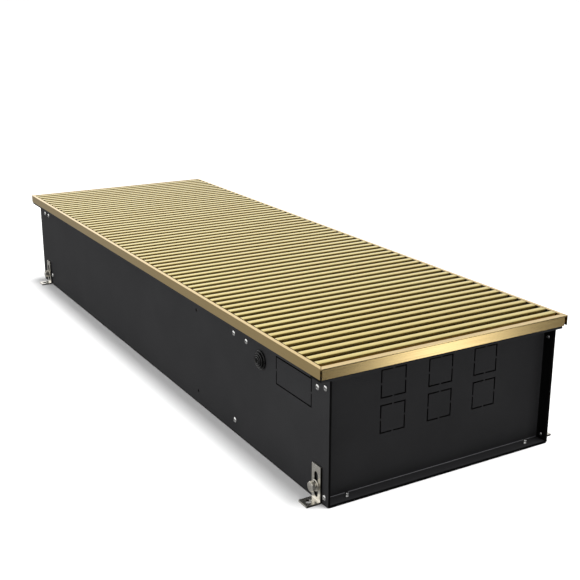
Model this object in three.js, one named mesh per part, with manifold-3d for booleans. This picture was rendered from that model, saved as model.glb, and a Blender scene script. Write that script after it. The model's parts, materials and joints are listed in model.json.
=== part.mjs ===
// A fan-assisted trench convector heater: a folded steel trough with a roll-up grille in a
// brass-coloured aluminium frame, and a copper-and-fin exchanger and cross-flow fan inside.
// Millimetres, +Z up. X runs along the casing to the pipe end, and -Y is the side with the
// cable grommet. The origin lies under the middle of the casing, on the floor.

import * as THREE from 'three';
import { mergeVertices } from 'three/addons/utils/BufferGeometryUtils.js';
import Module from 'manifold-3d';

// Clearances
const fitGap = 0.3;             // between pieces that slide in or pass through each other
const seatGap = 0.1;            // under a piece that rests on a folded sheet
const holeGap = 0.5;            // round a rivet or a bolt in its hole
const pastFace = 1;             // how far a cutting solid runs past the face it opens
const joinOverlap = 0.5;        // how far joined solids reach into each other

// Casing
const casingLength = 931;
const casingWidth = 291.4;
const rimTop = 138.6;           // top of the folded rim, on which the frame rests
const sheet = 1.2;              // steel sheet of the casing and its end plates
const rimReach = 11.5;          // how far the rim stands out from the wall
const rimLip = 3.3;             // turned-down edge of the rim
const nearRimBackReach = 6.8;   // the near rim stops short at its back corner
const endRimSetback = 1;        // the end rims stop this far inside the frame's end face

// End plates and partition
const nearRecess = 14.8;        // depth of the near plate behind the casing's end
const flangeSetback = 0.4;      // near flanges stop just inside the casing's end
const farRecess = 40;
const farFlange = 15;
const bayLength = 190;          // connection bay, from the near end to the partition
const partitionFlange = 15;
const partitionTop = 130;
const partitionTubeGap = 1.5;   // air left round each tube where it crosses the partition
const cablePassWidth = 30;
const cablePassHeight = 16;
const cablePassFromWall = 35.7;
const cablePassZ = 40;

// Knock-outs in the near plate and in the front wall
const slitWidth = 1;
const slitBridge = 2.6;         // sheet left standing between two slits
const knockoutSize = 30;
const knockoutPitch = 60;       // between columns, the middle one on the centre line
const knockoutLowZ = 73;
const knockoutHighZ = 111.5;
const cableKnockoutLength = 69;
const cableKnockoutHeight = 30;
const cableKnockoutFromEnd = 67.8;
const cableKnockoutZ = 110.7;
const vacantHoleRadius = 1.6;
const vacantHoleFromEnd = 296;
const vacantHoleLowZ = 17;
const vacantHoleHighZ = 121;

// Blind rivets
const rivetHeadRadius = 3.1;
const rivetHeadHeight = 1.3;
const rivetDomeRadius = 2.2;    // where the head's dome begins to flatten
const rivetDomeHeight = 1;
const rivetShankRadius = 1.6;
const rivetTailRadius = 2.1;
const rivetTailLength = 1.8;
const rivetTipRadius = 1.1;
const rivetSides = 8;
const nearRivetLowZ = 9;
const nearRivetHighZ = 125;
const partitionRivetLowZ = 17;
const partitionRivetHighZ = 122;
const farRivetLowZ = 17.5;
const farRivetHighZ = 122.5;
const spareRivetFromEnd = 28.5;
const floorRivetFromWall = 26.7;
const floorRivetStandUp = 5;    // tail left standing above the flange

// Frame
const frameHeight = 11.3;
const frameOverhangSide = 12.6; // past the casing's side wall
const frameOverhangEnd = 3.5;   // past the casing's end
const frameLeg = 0.9;           // thickness of the outer and inner legs
const frameWeb = 1.4;           // thickness of the top
const sideFrameTop = 4.2;       // width of the top of the long profiles
const endFrameTop = 6.6;        // width of the top of the end profiles
const ledgeThickness = 1.2;
const sideLedgeReach = 12;      // ledge, measured in from the outer face
const endLedgeReach = 17;
const frameCornerSlit = 1;      // the outer legs stop short of the corner
const frameOpenEnd = 5.4;       // the near profile stops short at the back corner
const mitreGap = 0.15;

// Roll-up grille
const barPitch = 15.1;
const barEndRoom = 4;           // least room between the outermost bars and the frame
const barTopWidth = 8;
const barTopThickness = 2.4;
const barWeb = 2.2;
const barEndGap = 1;            // between a bar's end and the frame
const grilleShift = -1;         // the grille lies slightly towards the far end
const tieRodSize = 3;
const tieRodFromBarEnd = 58;
const tieRodDrop = 5.6;         // tie rod's middle, below the top of the bars
const stripWidth = 5;
const stripThickness = 1;

// Mounting brackets, with their bolts and nuts
const bracketFromNearEnd = 19.5; // middle of a bracket
const bracketFromFarEnd = 33;
const bracketWidth = 16;
const bracketSheet = 2;
const bracketHeight = 39.6;
const bracketReach = 18;        // foot, out from the wall
const slotWidth = 6.6;
const slotBottom = 5;
const slotTop = 32.5;
const footHoleRadius = 3.4;
const footHoleFromWall = 11;
const footHoleSides = 10;
const slotCurveSteps = 5;
const boltZ = 17.5;
const boltRadius = 2.9;
const boltSides = 8;
const boltInside = 5;           // shank end inside the wall
const boltHeadOffset = 5.9;     // wall to the underside of the head
const boltHeadThickness = 3.4;
const hexRadius = 5.7;          // across the corners, halved
const hexSides = 6;
const nutThickness = 3.2;
const nutFlangeRadius = 6.6;
const nutFlange = 1;
const nutFlangeSides = 16;

// Heat exchanger
const tubeRadius = 7.5;
const tubeWall = 1;
const tubeSides = 12;
const tubeIntoBay = 24;         // tube ends past the partition
const finPitch = 20;
const finThickness = 1.2;
const finWidth = 84;
const finHeight = 76;
const finInset = 20;            // first fin behind the partition's flange
const finFarRoom = 50;          // least room from the last fin to the far plate's flange
const finCollar = 1.6;          // wall of the collars round the tubes
const collarSides = 8;
const standSheet = 1.5;
const standInset = 8;           // stands, past the first and last fins
const standTop = 127;
const standFoot = 12;
const bendLead = 14;            // straight tube before the return bend
const bendSteps = 24;           // facets in a full turn of the bend

// Connections and air vent
const socketDepth = 13;
const nippleWall = 2;
const nippleThreadRadius = 10.4;
const nippleThreadLength = 22;
const nippleHexRadius = 13;
const nippleHexLength = 9;
const waterwayRadius = 6;
const ventRadius = 4.2;
const ventHeight = 8;
const ventBoreDepth = 6;
const bleedRadius = 1.5;
const bleedHeadRadius = 3.4;
const bleedHeadHeight = 2.6;
const bleedSlotWidth = 0.9;
const bleedSlotDepth = 1.1;
const ventSides = 10;
const bleedSides = 8;
const bleedHeadSides = 12;

// Cross-flow fan
const fanFromWall = 57.7;       // axis, in from the wall's outer face
const fanZ = 68;
const fanRadius = 30;
const fanNearRoom = 66;         // from the partition's flange to the rotor
const fanFarRoom = 55;          // from the far plate's flange to the rotor
const bladeCount = 12;
const bladeChord = 8;
const bladeThickness = 1;
const bladeLean = 0.6;          // radians from the radius
const fanRings = 3;             // stiffening rings between the end discs
const discThickness = 2;
const ringWidth = 10;           // from a stiffening ring's rim to its eye
const discSides = 24;
const eyeSides = 16;
const shaftRadius = 3;
const shaftSides = 12;
const cheekSheet = 1.5;
const cheekGap = 3;             // between the rotor and a cheek
const cheekWidth = 74;
const cheekTop = 104;
const housingSheet = 1;
const housingGap = 3;           // between the rotor and its housing
const housingStart = 1.75;      // radians, near the top
const housingEnd = 5.5;         // radians, at the start of the outlet plate
const outletLength = 62;
const scrollCurveSteps = 20;
const motorRadius = 25;
const motorLength = 38;
const motorFlangeRadius = 29;
const motorFlange = 2.5;
const motorSides = 20;
const bearingRadius = 10;
const bearingLength = 9;
const bearingSides = 16;
const shaftEngagement = 7;

// Terminal box and cable grommet
const boxNearRivetRoom = 6.8;   // rivet, behind the near plate's face
const boxFarRivetRoom = 22;     // rivet, in front of the partition
const boxNearRivetZ = 121;
const boxFarRivetZ = 121.5;
const boxEar = 5;               // sheet past each rivet
const boxRivetRoom = 8;         // from each rivet to the box's side
const boxBottom = 82;
const boxTop = 131;
const boxDepth = 60;
const boxWall = 1.5;
const lidThickness = 1.5;
const lidRim = 4;
const blockLength = 72;
const blockWidth = 16;
const blockHeight = 17;
const blockWells = 6;
const blockWellSize = 6;
const grommetFromEnd = 135;
const grommetZ = 111;
const grommetBore = 4;
const grommetNeck = 8.4;
const grommetBase = 10.8;
const grommetBaseHeight = 1.6;
const grommetSteps = 4;
const grommetStepHeight = 1.1;
const grommetInnerFlange = 2;
const grommetSides = 14;

// Places worked out from the sizes above
const endX = casingLength / 2;
const wallOuter = casingWidth / 2;
const wallInner = wallOuter - sheet;
const insideY = wallInner - fitGap;
const insideFloor = sheet + fitGap;
const frameX = endX + frameOverhangEnd;
const frameY = wallOuter + frameOverhangSide;
const frameBottom = rimTop + seatGap;
const frameTop = frameBottom + frameHeight;
const ledgeTop = frameBottom + ledgeThickness;
const nearPlateX = endX - nearRecess;
const farPlateX = -(endX - farRecess);
const partitionX = endX - bayLength;
const partitionBack = partitionX - partitionFlange;
const nearRivetX = endX - nearRecess / 2;
const farRivetX = farPlateX + farFlange / 2;
const farFlangeEnd = farPlateX + farFlange;
const partitionRivetX = partitionX - partitionFlange / 2;
const doubleGrip = 2 * sheet + fitGap + seatGap;
const rivetHoleRadius = rivetShankRadius + holeGap;
const bracketNearX = endX - bracketFromNearEnd;
const bracketFarX = -(endX - bracketFromFarEnd);
const floorRivetY = wallOuter - floorRivetFromWall;
const cablePassY = -(wallOuter - cablePassFromWall);
const tubeY = knockoutPitch;
const tubeMiddleZ = (knockoutLowZ + knockoutHighZ) / 2;
const tubeHoleRadius = tubeRadius + fitGap;
const finNearX = partitionBack - finInset;
const finCount = Math.floor((finNearX - farFlangeEnd - finFarRoom) / finPitch) + 1;
const finFarX = finNearX - (finCount - 1) * finPitch;
const fanY = -(wallOuter - fanFromWall);
const fanNearX = partitionBack - fanNearRoom;
const fanFarX = farFlangeEnd + fanFarRoom;
const fanLength = fanNearX - fanFarX;
const boxNearRivetX = nearPlateX - boxNearRivetRoom;
const boxFarRivetX = partitionX + boxFarRivetRoom;
const shaftHoleRadius = shaftRadius + fitGap;
const grommetX = endX - grommetFromEnd;
const grommetHoleRadius = grommetNeck + fitGap;
const cableKnockoutX = endX - cableKnockoutFromEnd;

const finish = {
  blackSteel: new THREE.MeshStandardMaterial({ color: 0x2b2b2c, metalness: 0.2, roughness: 0.55 }),
  brassAnodised: new THREE.MeshStandardMaterial({ color: 0xb59a5f, metalness: 0.9, roughness: 0.35 }),
  stainless: new THREE.MeshStandardMaterial({ color: 0xa5a096, metalness: 0.9, roughness: 0.35 }),
  rivet: new THREE.MeshStandardMaterial({ color: 0xd2d2d0, metalness: 0.9, roughness: 0.25 }),
  rubber: new THREE.MeshStandardMaterial({ color: 0x151515, metalness: 0, roughness: 0.8 }),
  copper: new THREE.MeshStandardMaterial({ color: 0xb06a44, metalness: 0.9, roughness: 0.35 }),
  brass: new THREE.MeshStandardMaterial({ color: 0xb89b52, metalness: 0.9, roughness: 0.3 }),
  finAluminium: new THREE.MeshStandardMaterial({ color: 0x2a2a2c, metalness: 0.4, roughness: 0.5 }),
  zincSteel: new THREE.MeshStandardMaterial({ color: 0x8d8f92, metalness: 0.85, roughness: 0.45 }),
  darkPlastic: new THREE.MeshStandardMaterial({ color: 0x1e1f21, metalness: 0, roughness: 0.5 }),
};

// ---- solids ----

const wasm = await Module();
wasm.setup();

// Corners are rounded to a thousandth, so that faces meant to meet lie in one plane.
function toSolid(geometry) {
  const bare = geometry.clone();
  bare.deleteAttribute('normal');
  bare.deleteAttribute('uv');
  const corners = bare.attributes.position.array;
  for (let i = 0; i < corners.length; i += 1) corners[i] = Math.round(corners[i] * 1000) / 1000;
  const merged = mergeVertices(bare, 1e-4);
  return new wasm.Manifold(new wasm.Mesh({
    numProp: 3,
    vertProperties: new Float32Array(merged.attributes.position.array),
    triVerts: new Uint32Array(merged.index.array),
  }));
}

function toGeometry(solid) {
  const result = solid.getMesh();
  const geometry = new THREE.BufferGeometry();
  geometry.setAttribute('position', new THREE.BufferAttribute(result.vertProperties, 3));
  geometry.setIndex(new THREE.BufferAttribute(result.triVerts, 1));
  return geometry;
}

function joinAll(solids) {
  return solids.reduce((whole, piece) => whole.add(piece));
}

function cutAll(solid, cutters) {
  return cutters.reduce((rest, cutter) => rest.subtract(cutter), solid);
}

function namedMesh(name, solid, material) {
  const geometry = solid.isBufferGeometry ? solid : toGeometry(solid);
  const mesh = new THREE.Mesh(geometry, material);
  mesh.name = name;
  return mesh;
}

// A rectangular block between pairs of limits, in either order.
function block(xs, ys, zs) {
  const size = [xs, ys, zs].map(([a, b]) => Math.abs(b - a));
  const middle = [xs, ys, zs].map(([a, b]) => (a + b) / 2);
  return toSolid(new THREE.BoxGeometry(...size).translate(...middle));
}

// Turns a shape drawn flat and extruded along Z so that it runs along another axis:
// drawn (y, z) for X, (z, x) for Y and (x, y) for Z.
function alongAxis(geometry, axis) {
  const turns = {
    x: new THREE.Matrix4().makeBasis(
      new THREE.Vector3(0, 1, 0), new THREE.Vector3(0, 0, 1), new THREE.Vector3(1, 0, 0)),
    y: new THREE.Matrix4().makeBasis(
      new THREE.Vector3(0, 0, 1), new THREE.Vector3(1, 0, 0), new THREE.Vector3(0, 1, 0)),
    z: new THREE.Matrix4(),
  };
  return geometry.applyMatrix4(turns[axis]);
}

function extrudeAlong(axis, shape, from, to, curveSegments = 12) {
  const outline = Array.isArray(shape)
    ? new THREE.Shape(shape.map(([u, v]) => new THREE.Vector2(u, v)))
    : shape;
  const geometry = new THREE.ExtrudeGeometry(outline, {
    depth: to - from, bevelEnabled: false, curveSegments,
  });
  geometry.translate(0, 0, from);
  return toSolid(alongAxis(geometry, axis));
}

// A prism with flats: its corners lie on the radius, and it runs between two limits.
function prism(axis, centre, radius, from, to, sides, turn = 0) {
  const corners = [];
  for (let i = 0; i < sides; i += 1) {
    const angle = turn + (i + 0.5) * 2 * Math.PI / sides;
    corners.push([centre[0] + radius * Math.cos(angle), centre[1] + radius * Math.sin(angle)]);
  }
  return extrudeAlong(axis, corners, from, to);
}

// A turned piece: profile points are [radius, distance along Z].
function turned(points, sides) {
  return new THREE.LatheGeometry(points.map(([r, z]) => new THREE.Vector2(r, z)), sides)
    .rotateX(Math.PI / 2);
}

// A rectangular outline of slits round a knock-out, cut along an axis, with bridges left
// in the middle of the sides that the flags name.
function knockoutSlits(axis, centre, width, height, from, to, bridgeShort, bridgeLong) {
  const span = (u, v) => [[centre[0] - u / 2, centre[1] - v / 2], [centre[0] + u / 2, centre[1] - v / 2],
    [centre[0] + u / 2, centre[1] + v / 2], [centre[0] - u / 2, centre[1] + v / 2]];
  const slab = (u, v) => extrudeAlong(axis, span(u, v), from, to);
  let ring = slab(width + slitWidth, height + slitWidth)
    .subtract(slab(width - slitWidth, height - slitWidth));
  if (bridgeShort) ring = ring.subtract(slab(width + 2 * slitWidth, slitBridge));
  if (bridgeLong) ring = ring.subtract(slab(slitBridge, height + 2 * slitWidth));
  return ring;
}

// ---- casing ----

// Where rivets cross the two long walls: [name, x, z, sheets gripped, on the back wall too].
function wallRivets() {
  return [
    ['near_low', nearRivetX, nearRivetLowZ, 2, true],
    ['near_high', nearRivetX, nearRivetHighZ, 2, true],
    ['box_near', boxNearRivetX, boxNearRivetZ, 2, false],
    ['box_far', boxFarRivetX, boxFarRivetZ, 2, false],
    ['partition_low', partitionRivetX, partitionRivetLowZ, 2, true],
    ['partition_high', partitionRivetX, partitionRivetHighZ, 2, true],
    ['far_low', farRivetX, farRivetLowZ, 2, true],
    ['far_high', farRivetX, farRivetHighZ, 2, true],
    ['far_corner', -(endX - spareRivetFromEnd), farRivetHighZ, 1, false],
  ];
}

function wallCutter(side, x, z, radius, sides) {
  const reach = [side * (wallInner - 3 * sheet), side * (wallOuter + sheet)].sort((a, b) => a - b);
  return prism('y', [z, x], radius, reach[0], reach[1], sides);
}

function wallRivetHoles(chosen) {
  const holes = [];
  for (const [name, x, z, , both] of wallRivets()) {
    if (!chosen(name)) continue;
    for (const side of both ? [-1, 1] : [-1]) {
      holes.push(wallCutter(side, x, z, rivetHoleRadius, rivetSides));
    }
  }
  return holes;
}

function floorRivetHoles(x) {
  return [-1, 1].map((side) => prism(
    'z', [x, side * floorRivetY], rivetHoleRadius, -sheet, 4 * sheet, rivetSides));
}

function troughSection() {
  const half = [
    [wallOuter, 0],
    [wallOuter, rimTop - sheet],
    [wallOuter + rimReach - sheet, rimTop - sheet],
    [wallOuter + rimReach - sheet, rimTop - rimLip],
    [wallOuter + rimReach, rimTop - rimLip],
    [wallOuter + rimReach, rimTop],
    [wallInner, rimTop],
    [wallInner, sheet],
  ];
  const mirrored = half.map(([y, z]) => [-y, z]).reverse();
  return [...half, ...mirrored];
}

// Takes the rim away where an end plate's own rim lies, and leaves the walls standing.
function rimNotch(xs) {
  const reach = wallOuter + rimReach + pastFace;
  const rim = block(xs, [-reach, reach], [rimTop - rimLip - pastFace, rimTop + pastFace]);
  const walls = block([xs[0] - pastFace, xs[1] + pastFace], [-wallOuter, wallOuter],
    [0, rimTop - sheet - fitGap]);
  return rim.subtract(walls);
}

function makeTrough() {
  const body = extrudeAlong('x', troughSection(), -endX, endX);
  const wallCut = [-wallOuter - sheet, -wallInner + sheet];
  const cutters = [
    rimNotch([nearPlateX - sheet - fitGap, endX + pastFace]),
    rimNotch([-endX - pastFace, farPlateX + sheet + fitGap]),
    ...wallRivetHoles(() => true),
    ...floorRivetHoles(nearRivetX),
    ...floorRivetHoles(farRivetX),
    knockoutSlits('y', [cableKnockoutZ, cableKnockoutX], cableKnockoutHeight, cableKnockoutLength,
      wallCut[0], wallCut[1], false, true),
    wallCutter(-1, grommetX, grommetZ, grommetHoleRadius, grommetSides),
    wallCutter(-1, endX - vacantHoleFromEnd, vacantHoleLowZ, vacantHoleRadius, rivetSides),
    wallCutter(-1, endX - vacantHoleFromEnd, vacantHoleHighZ, vacantHoleRadius, rivetSides),
  ];
  for (const x of [bracketNearX, bracketFarX]) {
    for (const side of [-1, 1]) {
      cutters.push(wallCutter(side, x, boltZ, boltRadius + holeGap, rivetSides));
    }
  }
  return cutAll(body, cutters);
}

function makeNearPlate() {
  const inner = nearPlateX - sheet;
  const flangeEnd = endX - flangeSetback;
  const rimEnd = frameX - endRimSetback;
  const front = -(wallOuter + rimReach);
  const back = wallOuter + nearRimBackReach;
  const sideTop = rimTop - sheet - fitGap;
  const body = joinAll([
    block([inner, nearPlateX], [-insideY, insideY], [insideFloor, rimTop]),
    block([inner, flangeEnd], [-insideY, insideY], [insideFloor, insideFloor + sheet]),
    block([inner, flangeEnd], [-insideY, -insideY + sheet], [insideFloor, sideTop]),
    block([inner, flangeEnd], [insideY - sheet, insideY], [insideFloor, sideTop]),
    block([inner, rimEnd], [front, back], [rimTop - sheet, rimTop]),
    block([rimEnd - sheet, rimEnd], [front, back], [rimTop - rimLip, rimTop]),
    block([inner, rimEnd], [front, front + sheet], [rimTop - rimLip, rimTop]),
  ]);
  const slits = [];
  for (const column of [-1, 0, 1]) {
    for (const z of [knockoutLowZ, knockoutHighZ]) {
      slits.push(knockoutSlits('x', [column * knockoutPitch, z], knockoutSize, knockoutSize,
        inner - sheet, nearPlateX + sheet, true, true));
    }
  }
  return cutAll(body, [
    ...slits,
    ...wallRivetHoles((name) => name.startsWith('near')),
    ...floorRivetHoles(nearRivetX),
  ]);
}

function makeFarPlate() {
  const inner = farPlateX + sheet;
  const rimEnd = -(frameX - endRimSetback);
  const side = wallOuter + rimReach;
  const sideTop = rimTop - sheet - fitGap;
  const body = joinAll([
    block([farPlateX, inner], [-insideY, insideY], [insideFloor, rimTop]),
    block([farPlateX, farFlangeEnd], [-insideY, insideY], [insideFloor, insideFloor + sheet]),
    block([farPlateX, farFlangeEnd], [-insideY, -insideY + sheet], [insideFloor, sideTop]),
    block([farPlateX, farFlangeEnd], [insideY - sheet, insideY], [insideFloor, sideTop]),
    block([rimEnd, inner], [-side, side], [rimTop - sheet, rimTop]),
    block([rimEnd, rimEnd + sheet], [-side, side], [rimTop - rimLip, rimTop]),
    block([rimEnd, inner], [-side, -side + sheet], [rimTop - rimLip, rimTop]),
    block([rimEnd, inner], [side - sheet, side], [rimTop - rimLip, rimTop]),
  ]);
  return cutAll(body, [
    ...wallRivetHoles((name) => name === 'far_low' || name === 'far_high'),
    ...floorRivetHoles(farRivetX),
  ]);
}

function makePartition() {
  const body = joinAll([
    block([partitionX - sheet, partitionX], [-insideY, insideY], [insideFloor, partitionTop]),
    block([partitionBack, partitionX], [-insideY, insideY], [insideFloor, insideFloor + sheet]),
    block([partitionBack, partitionX], [-insideY, -insideY + sheet], [insideFloor, partitionTop]),
    block([partitionBack, partitionX], [insideY - sheet, insideY], [insideFloor, partitionTop]),
  ]);
  const through = [partitionX - 2 * sheet, partitionX + sheet];
  const tubeHoles = [knockoutLowZ, knockoutHighZ].map((z) => prism(
    'x', [tubeY, z], tubeRadius + partitionTubeGap, through[0], through[1], tubeSides));
  const cablePass = block(through, [cablePassY - cablePassWidth / 2, cablePassY + cablePassWidth / 2],
    [cablePassZ - cablePassHeight / 2, cablePassZ + cablePassHeight / 2]);
  return cutAll(body, [
    ...tubeHoles,
    cablePass,
    ...wallRivetHoles((name) => name.startsWith('partition')),
  ]);
}

// A rivet with its head on the XY plane, its shank pointing down -Z.
function rivetGeometry(grip) {
  return turned([
    [0, -grip - rivetTailLength],
    [rivetTailRadius, -grip - rivetTailLength],
    [rivetTailRadius, -grip],
    [rivetShankRadius, -grip],
    [rivetShankRadius, 0],
    [rivetHeadRadius, 0],
    [rivetDomeRadius, rivetDomeHeight],
    [0, rivetHeadHeight],
  ], rivetSides);
}

function makeWallRivets() {
  const group = new THREE.Group();
  for (const [name, x, z, sheets, both] of wallRivets()) {
    const grip = sheets === 2 ? doubleGrip + seatGap : sheet + 2 * seatGap;
    for (const side of both ? [-1, 1] : [-1]) {
      const sideName = side < 0 ? 'front' : 'back';
      const rivet = namedMesh(`rivet_${sideName}_${name}`, rivetGeometry(grip), finish.rivet);
      rivet.position.set(x, side * (wallOuter + seatGap), z);
      rivet.rotation.x = -side * Math.PI / 2;
      group.add(rivet);
    }
  }
  return group;
}

// Flush rivets through the floor and the end plates' bottom flanges, tails upwards.
function makeFloorRivets() {
  const group = new THREE.Group();
  const standTopZ = insideFloor + sheet + floorRivetStandUp;
  const tailZ = insideFloor + sheet + seatGap;
  const geometry = turned([
    [0, seatGap],
    [rivetShankRadius, seatGap],
    [rivetShankRadius, tailZ],
    [rivetTailRadius, tailZ],
    [rivetTailRadius, standTopZ - rivetShankRadius],
    [rivetTipRadius, standTopZ],
    [0, standTopZ],
  ], rivetSides);
  for (const [end, x] of [['near', nearRivetX], ['far', farRivetX]]) {
    for (const [sideName, side] of [['front', -1], ['back', 1]]) {
      const rivet = namedMesh(`rivet_floor_${end}_${sideName}`, geometry, finish.rivet);
      rivet.position.set(x, side * floorRivetY, 0);
      group.add(rivet);
    }
  }
  return group;
}

// ---- frame and grille ----

// One profile of the frame, along local X with its outer face at local y = 0 and its
// inside towards +y: a folded top, an outer and an inner leg, and a ledge for the grille.
function frameProfile(size) {
  const { half, top, mitreRun, legFrom, legTo, ledgeFrom, ledgeReach } = size;
  const tip = half - mitreGap;
  const inner = half - mitreRun - mitreGap;
  const legTop = frameHeight - frameWeb / 2;
  return joinAll([
    extrudeAlong('z', [[-tip, 0], [tip, 0], [inner, top], [-inner, top]],
      frameHeight - frameWeb, frameHeight),
    block([-inner, inner], [0, frameLeg], [0, legTop]),
    block([legFrom, legTo], [0, frameLeg], [0, frameHeight - frameWeb - seatGap]),
    block([-inner, inner], [top - frameLeg, top], [0, legTop]),
    block([-ledgeFrom, ledgeFrom], [top - frameLeg, ledgeReach], [0, ledgeThickness]),
  ]);
}

function makeFrame() {
  const group = new THREE.Group();
  const sideInner = frameX - endFrameTop - mitreGap;
  const sides = {
    half: frameX, top: sideFrameTop, mitreRun: endFrameTop, ledgeFrom: sideInner, ledgeReach: sideLedgeReach,
  };
  const ends = {
    half: frameY, top: endFrameTop, mitreRun: sideFrameTop, ledgeReach: endLedgeReach,
    ledgeFrom: frameY - sideLedgeReach - fitGap,
  };
  const sideLeg = frameX - frameCornerSlit;
  const endLeg = frameY - frameCornerSlit;
  const profiles = [
    ['frame_front', { ...sides, legFrom: -sideLeg, legTo: sideLeg }, 0, -frameY, 0],
    ['frame_near', { ...ends, legFrom: -endLeg, legTo: frameY - frameOpenEnd }, frameX, 0, Math.PI / 2],
    ['frame_back', { ...sides, legFrom: -(frameX - mitreGap), legTo: sideLeg }, 0, frameY, Math.PI],
    ['frame_far', { ...ends, legFrom: -endLeg, legTo: endLeg }, -frameX, 0, -Math.PI / 2],
  ];
  for (const [name, size, x, y, turn] of profiles) {
    const profile = namedMesh(name, frameProfile(size), finish.brassAnodised);
    profile.position.set(x, y, frameBottom);
    profile.rotation.z = turn;
    group.add(profile);
  }
  return group;
}

const barBottom = ledgeTop + seatGap + stripThickness + fitGap;
const barEnd = frameY - sideFrameTop - barEndGap;
const barSpan = 2 * (frameX - endFrameTop - barEndRoom) - barTopWidth;
const barCount = Math.floor(barSpan / barPitch) + 1;
const tieRodY = barEnd - tieRodFromBarEnd;

// A T-section bar across the casing.
function barSection(x) {
  const half = [
    [barBottom, barWeb / 2],
    [frameTop - barTopThickness, barWeb / 2],
    [frameTop - barTopThickness, barTopWidth / 2],
    [frameTop, barTopWidth / 2],
  ];
  const right = half.map(([z, offset]) => [z, x + offset]);
  const left = half.map(([z, offset]) => [z, x - offset]).reverse();
  return [...right, ...left];
}

function makeGrille() {
  const first = grilleShift - (barCount - 1) * barPitch / 2;
  const last = first + (barCount - 1) * barPitch;
  const bars = [];
  for (let i = 0; i < barCount; i += 1) {
    bars.push(extrudeAlong('y', barSection(first + i * barPitch), -barEnd, barEnd));
  }
  const rodZ = frameTop - tieRodDrop;
  const rods = [-1, 1].map((side) => block(
    [first - barWeb / 4, last + barWeb / 4],
    [side * tieRodY - tieRodSize / 2, side * tieRodY + tieRodSize / 2],
    [rodZ - tieRodSize / 2, rodZ + tieRodSize / 2]));
  return joinAll([...rods, ...bars]);
}

function makeDampingStrip(side) {
  const length = frameX - endLedgeReach - fitGap;
  const outer = frameY - sideFrameTop - fitGap;
  const bottom = ledgeTop + seatGap;
  return block([-length, length], [side * (outer - stripWidth), side * outer],
    [bottom, bottom + stripThickness]);
}

// ---- mounting brackets ----

// The bracket, bolt and nut stand in a local frame: the wall's face is y = 0, outwards is -y.
function makeBracket() {
  const legFace = -fitGap;
  const legBack = legFace - bracketSheet;
  const halfWidth = bracketWidth / 2;
  const slotRadius = slotWidth / 2;
  const slot = new THREE.Shape()
    .absarc(slotTop - slotRadius, 0, slotRadius, -Math.PI / 2, Math.PI / 2, false)
    .absarc(slotBottom + slotRadius, 0, slotRadius, Math.PI / 2, 3 * Math.PI / 2, false);
  const body = joinAll([
    block([-halfWidth, halfWidth], [legBack, legFace], [0, bracketHeight]),
    block([-halfWidth, halfWidth], [-bracketReach, legFace], [0, bracketSheet]),
  ]);
  return cutAll(body, [
    extrudeAlong('y', slot, legBack - pastFace, legFace + pastFace, slotCurveSteps),
    prism('z', [0, -footHoleFromWall], footHoleRadius, -pastFace, bracketSheet + pastFace, footHoleSides),
  ]);
}

function makeBracketBolt() {
  const head = -boltHeadOffset;
  return joinAll([
    prism('y', [boltZ, 0], boltRadius, head - boltHeadThickness / 2, sheet + boltInside, boltSides),
    prism('y', [boltZ, 0], hexRadius, head - boltHeadThickness, head, hexSides),
  ]);
}

function makeBracketNut() {
  const seat = -(fitGap + bracketSheet + fitGap);
  const outer = seat - nutThickness;
  const body = joinAll([
    prism('y', [boltZ, 0], hexRadius, outer, seat - nutFlange / 2, hexSides),
    prism('y', [boltZ, 0], nutFlangeRadius, seat - nutFlange, seat, nutFlangeSides),
  ]);
  return body.subtract(
    prism('y', [boltZ, 0], boltRadius + fitGap, outer - pastFace, seat + pastFace, boltSides));
}

function makeBracketSets() {
  const group = new THREE.Group();
  for (const [endName, x] of [['near', bracketNearX], ['far', bracketFarX]]) {
    for (const [sideName, side] of [['front', -1], ['back', 1]]) {
      const set = new THREE.Group();
      set.add(namedMesh(`bracket_${endName}_${sideName}`, makeBracket(), finish.stainless));
      set.add(namedMesh(`bracket_bolt_${endName}_${sideName}`, makeBracketBolt(), finish.stainless));
      set.add(namedMesh(`bracket_nut_${endName}_${sideName}`, makeBracketNut(), finish.stainless));
      set.position.set(x, side * wallOuter, 0);
      set.rotation.z = side > 0 ? Math.PI : 0;
      group.add(set);
    }
  }
  return group;
}

// ---- heat exchanger ----

const standNearX = finNearX + standInset;
const standFarX = finFarX - standInset;
const bendX = standFarX - bendLead;
const tubeEndX = partitionX + tubeIntoBay;
const nippleStart = tubeEndX - socketDepth;

// Fins pressed onto collars that run along the two tubes.
function makeFinPack() {
  const fins = [];
  for (let i = 0; i < finCount; i += 1) {
    const x = finNearX - i * finPitch;
    fins.push(block([x - finThickness / 2, x + finThickness / 2],
      [tubeY - finWidth / 2, tubeY + finWidth / 2],
      [tubeMiddleZ - finHeight / 2, tubeMiddleZ + finHeight / 2]));
  }
  const through = [finFarX - finThickness / 2, finNearX + finThickness / 2];
  const rows = [knockoutLowZ, knockoutHighZ];
  const collars = rows.map((z) => prism(
    'x', [tubeY, z], tubeHoleRadius + finCollar, through[0], through[1], collarSides));
  const bores = rows.map((z) => prism(
    'x', [tubeY, z], tubeHoleRadius, through[0] - finPitch, through[1] + finPitch, tubeSides));
  return cutAll(joinAll([...collars, ...fins]), bores);
}

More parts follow.
